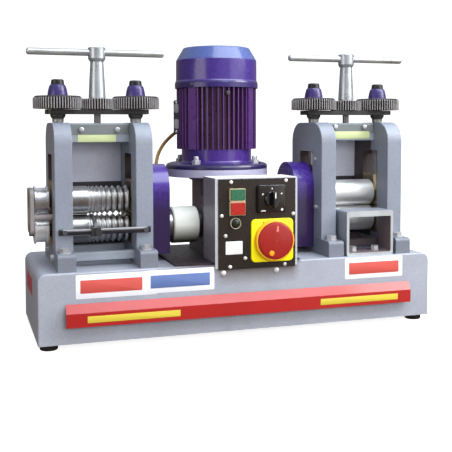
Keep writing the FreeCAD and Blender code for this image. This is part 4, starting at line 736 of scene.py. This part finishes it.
disc("pilot_body", "black_gloss", -25.0, 199.6, 9.3, -125.6, -122.08, 0.8)
ring_piece("pilot_ring", "pilot_ring", -25.0, 199.6, 9.7, 8.5, -126.4, -122.1)
bm = bmesh.new()
bmesh.ops.create_uvsphere(bm, u_segments=36, v_segments=18, radius=0.0062)
for v in bm.verts:
    v.co = Vector((v.co.x - 0.0250, v.co.y * 0.28 - 0.1257, v.co.z + 0.1996))
from_bm(bm, "pilot_lens", "pilot_lens", angle=80)
plate("panel_blank_plate", "decal_white", -42.4, -11.4, 145.2, 168.0, -122.35, -121.95, 0.6, 0.1)
# the orange dot on the isolator knob and a pink painted highlight ride with it
disc("isolator_dot", "dot_orange", 35.6, 146.9, 4.7, -143.4, -141.2, 0.4, "isolator")
bm = bmesh.new()
slab(bm, [(-2.3, -4.6), (2.3, -4.6), (1.7, 4.8), (-1.1, 5.4)], -143.25, -142.6, 46.2, 189.2, 0.2)
from_bm(bm, "isolator_painted_highlight", "painted_highlight_pink", "isolator")

# -------------------------------------------------------- colour strips etc.
plate("decal_left_white", "decal_white", -300.5, -163.5, 84.0, 124.0, -118.22, -117.95, 2.0, 0.1)
plate("decal_left_red", "decal_red", -293.0, -189.0, 93.0, 115.0, -118.42, -118.15, 1.0, 0.08)
plate("decal_mid_white", "decal_white", -181.5, -62.0, 85.5, 124.5, -118.30, -117.95, 2.0, 0.1)
plate("decal_mid_blue", "decal_blue", -175.0, -70.0, 94.0, 116.0, -118.48, -118.2, 1.0, 0.08)
plate("decal_right_white", "decal_white", 189.0, 308.0, 87.0, 126.0, -118.22, -117.95, 2.0, 0.1)
plate("decal_right_red", "decal_red", 197.0, 300.0, 95.5, 117.0, -118.42, -118.15, 1.0, 0.08)
plate("bar_strip_left", "decal_yellow", -283.5, -126.5, 46.5, 57.5, -132.25, -131.95, 0.6, 0.08, "safety_bar")
plate("bar_strip_right", "decal_yellow", 134.0, 291.0, 46.5, 57.5, -132.25, -131.95, 0.6, 0.08, "safety_bar")
plate("tie_strip_left", "decal_lime", -281.4, -213.8, 340.8, 353.6, -22.9, -21.95, 0.6, 0.3)
plate("tie_strip_right", "decal_lime", 211.0, 289.0, 343.6, 357.8, -22.9, -21.95, 3.4, 0.3)


def end_plate(name, mat, ya, yb, za, zb, x_out, x_in):
    """Plate on the left end face, looking -X."""
    bm = bmesh.new()
    pts = rrect(yb - ya, zb - za, 1.5)
    cy, cz = (ya + yb) / 2, (za + zb) / 2
    rows = []
    for x, k in ((x_in, 1.0), (x_out + 0.1, 1.0), (x_out, 0.985)):
        rows.append([bm.verts.new((x * 0.001, (cy + p * k) * 0.001, (cz + q * k) * 0.001)) for p, q in pts])
    for a, b in zip(rows, rows[1:]):
        for i in range(len(a)):
            bm.faces.new((a[i], b[i], b[(i + 1) % len(a)], a[(i + 1) % len(a)]))
    bm.faces.new(rows[0])
    bm.faces.new(rows[-1])
    return from_bm(bm, name, mat)


end_plate("end_plate_red", "end_red", -17.0, 92.0, 73.0, 104.0, -362.3, -361.9)

# pale painted highlight strip beside the upper roll of the right stand, on its bearing block
def side_plate(name, mat, ya, yb, za, zb, x_face, x_back, body):
    """Thin plate on a face looking -X."""
    bm = bmesh.new()
    pts = rrect(yb - ya, zb - za, 0.6, 3)
    cy, cz = (ya + yb) / 2, (za + zb) / 2
    rows = []
    for x, k in ((x_back, 1.0), (x_face + 0.1, 1.0), (x_face, 0.97)):
        rows.append([bm.verts.new((x * 0.001, (cy + p * k) * 0.001, (cz + q * k) * 0.001)) for p, q in pts])
    for a, b in zip(rows, rows[1:]):
        for i in range(len(a)):
            bm.faces.new((a[i], b[i], b[(i + 1) % len(a)], a[(i + 1) % len(a)]))
    bm.faces.new(rows[0])
    bm.faces.new(rows[-1])
    return from_bm(bm, name, mat, body)


side_plate("bearing_edge_highlight", "cream_frame", -31.0, -23.3, 243.0, 273.0, 297.4, 298.3, "right_carriage")

# terminal box: grey knock-outs and lid screws on the side that faces the front
TA = math.radians(162.0)
ER = Vector((math.cos(TA), math.sin(TA), 0))
ET = Vector((math.sin(TA), -math.cos(TA), 0))


def on_term(r, t, z):
    return (Vector((-2.5, 55.0, 0)) + ER * r + ET * t + Vector((0, 0, z))) * 0.001


for i, (z, h) in enumerate(((402.5, 17.0), (373.0, 18.0))):
    bm = bmesh.new()
    rows = []
    for t, k in ((-31.8, 1.0), (-32.5, 1.0), (-32.8, 0.93)):
        rows.append([bm.verts.new(on_term(75.9 + px * k, t, z + pz * k)) for px, pz in rrect(8.6, h, 3.0)])
    for a, b in zip(rows, rows[1:]):
        for j in range(len(a)):
            bm.faces.new((a[j], a[(j + 1) % len(a)], b[(j + 1) % len(a)], b[j]))
    bm.faces.new(rows[0])
    bm.faces.new(rows[-1])
    from_bm(bm, "terminal_knockout_%d" % i, "knock_grey")


def small_screw(name, centre, normal, r, h, mat="zinc", body="frame", slot_w=0.0):
    """Cheese-head screw with a domed top; centre in mm, on the surface."""
    k = 28
    nrm = Vector(normal).normalized()
    ax = nrm.cross(Vector((0, 0, 1)))
    if ax.length < 0.1:
        ax = nrm.cross(Vector((1, 0, 0)))
    ax.normalize()
    ay = nrm.cross(ax).normalized()
    bm = bmesh.new()
    prof = [(r, -0.3), (r, h * 0.55), (r * 0.93, h * 0.8), (r * 0.7, h * 0.95), (r * 0.3, h)]
    rows = []
    for pr, ph in prof:
        rows.append([bm.verts.new((Vector(centre) + nrm * ph + ax * (pr * math.cos(2 * math.pi * i / k)) + ay * (pr * math.sin(2 * math.pi * i / k))) * 0.001) for i in range(k)])
    for a, b in zip(rows, rows[1:]):
        for i in range(k):
            bm.faces.new((a[i], a[(i + 1) % k], b[(i + 1) % k], b[i]))
    bm.faces.new(rows[-1])
    bm.faces.new(rows[0])
    return from_bm(bm, name, mat, body, angle=50)


for i, z in enumerate((358.5, 413.5)):
    c = on_term(76.0, -32.0, z) * 1000.0
    small_screw("terminal_screw_%d" % i, c, -ET, 2.3, 1.3)
for side_, cx_, zz_ in (("left", -244.0, 362.6), ("right", 244.0, 366.6)):
    for i, d_ in enumerate((-31.0, 32.5) if side_ == "left" else (-30.4, 32.0)):
        small_screw("tie_screw_%s_%d" % (side_, i), (cx_ + d_, -25.7, zz_), (0, -1, 0), 4.6, 2.6)
small_screw("earth_screw", (-4.5, -22.6, 429.6), (0, -1, 0), 4.2, 3.2, "rim_dark")
small_screw("cowl_screw_a", (-66.6, 5.8, 446.0), (-0.80, -0.60, 0), 3.2, 2.0, "rim_dark")

# ---------------------------------------------------------------- the stage
def area(name, loc, target, size, power, col=(1, 1, 1), size_y=None):
    l = bpy.data.lights.new(name, "AREA")
    l.energy = power
    l.color = col
    l.shape = "RECTANGLE"
    l.size = size
    l.size_y = size_y or size
    o = bpy.data.objects.new(name, l)
    SC.collection.objects.link(o)
    o.location = loc
    o.rotation_mode = "QUATERNION"
    o.rotation_quaternion = (Vector(target) - Vector(loc)).to_track_quat("-Z", "Y")
    return o


bm = bmesh.new()
prof = [(-7.0, 0.0), (3.2, 0.0)]
for i in range(1, 13):
    a = math.radians(90.0 * i / 12)
    prof.append((3.2 + 1.6 * math.sin(a), 1.6 - 1.6 * math.cos(a)))
prof.append((4.8, 7.0))
rows = []
for y, z in prof:
    rows.append([bm.verts.new((x, y, z - 0.0002)) for x in (-9.0, 9.0)])
for a, b in zip(rows, rows[1:]):
    bm.faces.new((a[0], a[1], b[1], b[0]))
me = bpy.data.meshes.new("sweep")
bm.to_mesh(me)
bm.free()
me.shade_smooth()
sweep = bpy.data.objects.new("sweep", me)
SC.collection.objects.link(sweep)
n = Net("sweep_white")
n.done(n.shader(n.ramp(n.noise(0.7, 2.0), [(0.3, (0.44, 0.44, 0.445, 1)), (0.7, (0.46, 0.46, 0.46, 1))]), 0.8, Emission_Color=(1, 1, 1, 1), Emission_Strength=0.85, Specular_IOR_Level=0.0))
me.materials.append(MATS["sweep_white"])
sweep.visible_glossy = False
sweep.visible_diffuse = False
sweep.visible_shadow = False

# surroundings: dim and brown low down, bright overhead, darker on the left
world = bpy.data.worlds.new("world")
SC.world = world
world.use_nodes = True
wt = world.node_tree
wt.nodes.clear()
w_out = wt.nodes.new("ShaderNodeOutputWorld")
w_tc = wt.nodes.new("ShaderNodeTexCoord")
w_sep = wt.nodes.new("ShaderNodeSeparateXYZ")
wt.links.new(w_tc.outputs["Generated"], w_sep.inputs[0])
w_ramp = wt.nodes.new("ShaderNodeValToRGB")
el = w_ramp.color_ramp.elements
while len(el) > 1:
    el.remove(el[-1])
w_map = wt.nodes.new("ShaderNodeMapRange")
for k_, v_ in (("From Min", -1.0), ("From Max", 1.0), ("To Min", 0.0), ("To Max", 1.0)):
    w_map.inputs[k_].default_value = v_
wt.links.new(w_sep.outputs["Z"], w_map.inputs["Value"])
wt.links.new(w_map.outputs["Result"], w_ramp.inputs["Fac"])
el[0].position, el[0].color = 0.0, (0.16, 0.12, 0.09, 1)
for p_, c_ in ((0.42, (0.20, 0.155, 0.12, 1)), (0.50, (0.24, 0.205, 0.19, 1)), (0.60, (0.28, 0.265, 0.27, 1)), (0.70, (0.42, 0.43, 0.46, 1)), (0.80, (0.75, 0.80, 0.88, 1)), (1.0, (0.95, 1.0, 1.08, 1))):
    e_ = el.new(p_)
    e_.color = c_
w_side = wt.nodes.new("ShaderNodeMapRange")
for k_, v_ in (("From Min", -1.0), ("From Max", 0.6), ("To Min", 0.75), ("To Max", 1.0)):
    w_side.inputs[k_].default_value = v_
wt.links.new(w_sep.outputs["X"], w_side.inputs["Value"])
w_mul = wt.nodes.new("ShaderNodeMix")
w_mul.data_type, w_mul.blend_type = "RGBA", "MULTIPLY"
w_mul.inputs["Factor"].default_value = 1.0
wt.links.new(w_ramp.outputs["Color"], w_mul.inputs[6])
wt.links.new(w_side.outputs["Result"], w_mul.inputs[7])
w_env = wt.nodes.new("ShaderNodeBackground")
wt.links.new(w_mul.outputs[2], w_env.inputs[0])
w_env.inputs[1].default_value = 1.0
w_white = wt.nodes.new("ShaderNodeBackground")
w_white.inputs[0].default_value = (1, 1, 1, 1)
w_path = wt.nodes.new("ShaderNodeLightPath")
w_mix = wt.nodes.new("ShaderNodeMixShader")
wt.links.new(w_path.outputs["Is Camera Ray"], w_mix.inputs[0])
wt.links.new(w_env.outputs[0], w_mix.inputs[1])
wt.links.new(w_white.outputs[0], w_mix.inputs[2])
wt.links.new(w_mix.outputs[0], w_out.inputs[0])

area("ceiling", (0.55, -0.65, 1.65), (0.15, 0.0, 0.25), 1.8, 34.0, (0.88, 0.95, 1.0), 1.3)
area("right", (1.25, -0.75, 1.05), (0.25, 0.0, 0.2), 0.8, 18.0, (1.0, 0.99, 0.97))
area("left", (-1.7, -0.8, 0.55), (-0.15, 0.0, 0.18), 1.1, 7.0, (1.0, 0.95, 0.90), 0.9)
rf = area("rightfront", (1.3, -2.0, 0.55), (0.2, 0.0, 0.2), 1.0, 5.5, (1.0, 1.0, 1.0), 1.4)
front = area("front", (0.10, -2.4, 0.75), (0.0, 0.0, 0.2), 1.4, 34.0, (1.0, 0.99, 0.98), 0.8)
front.visible_glossy = False
SC.view_settings.view_transform = "Standard"
SC.view_settings.look = "None"
SC.view_settings.exposure = 0.0
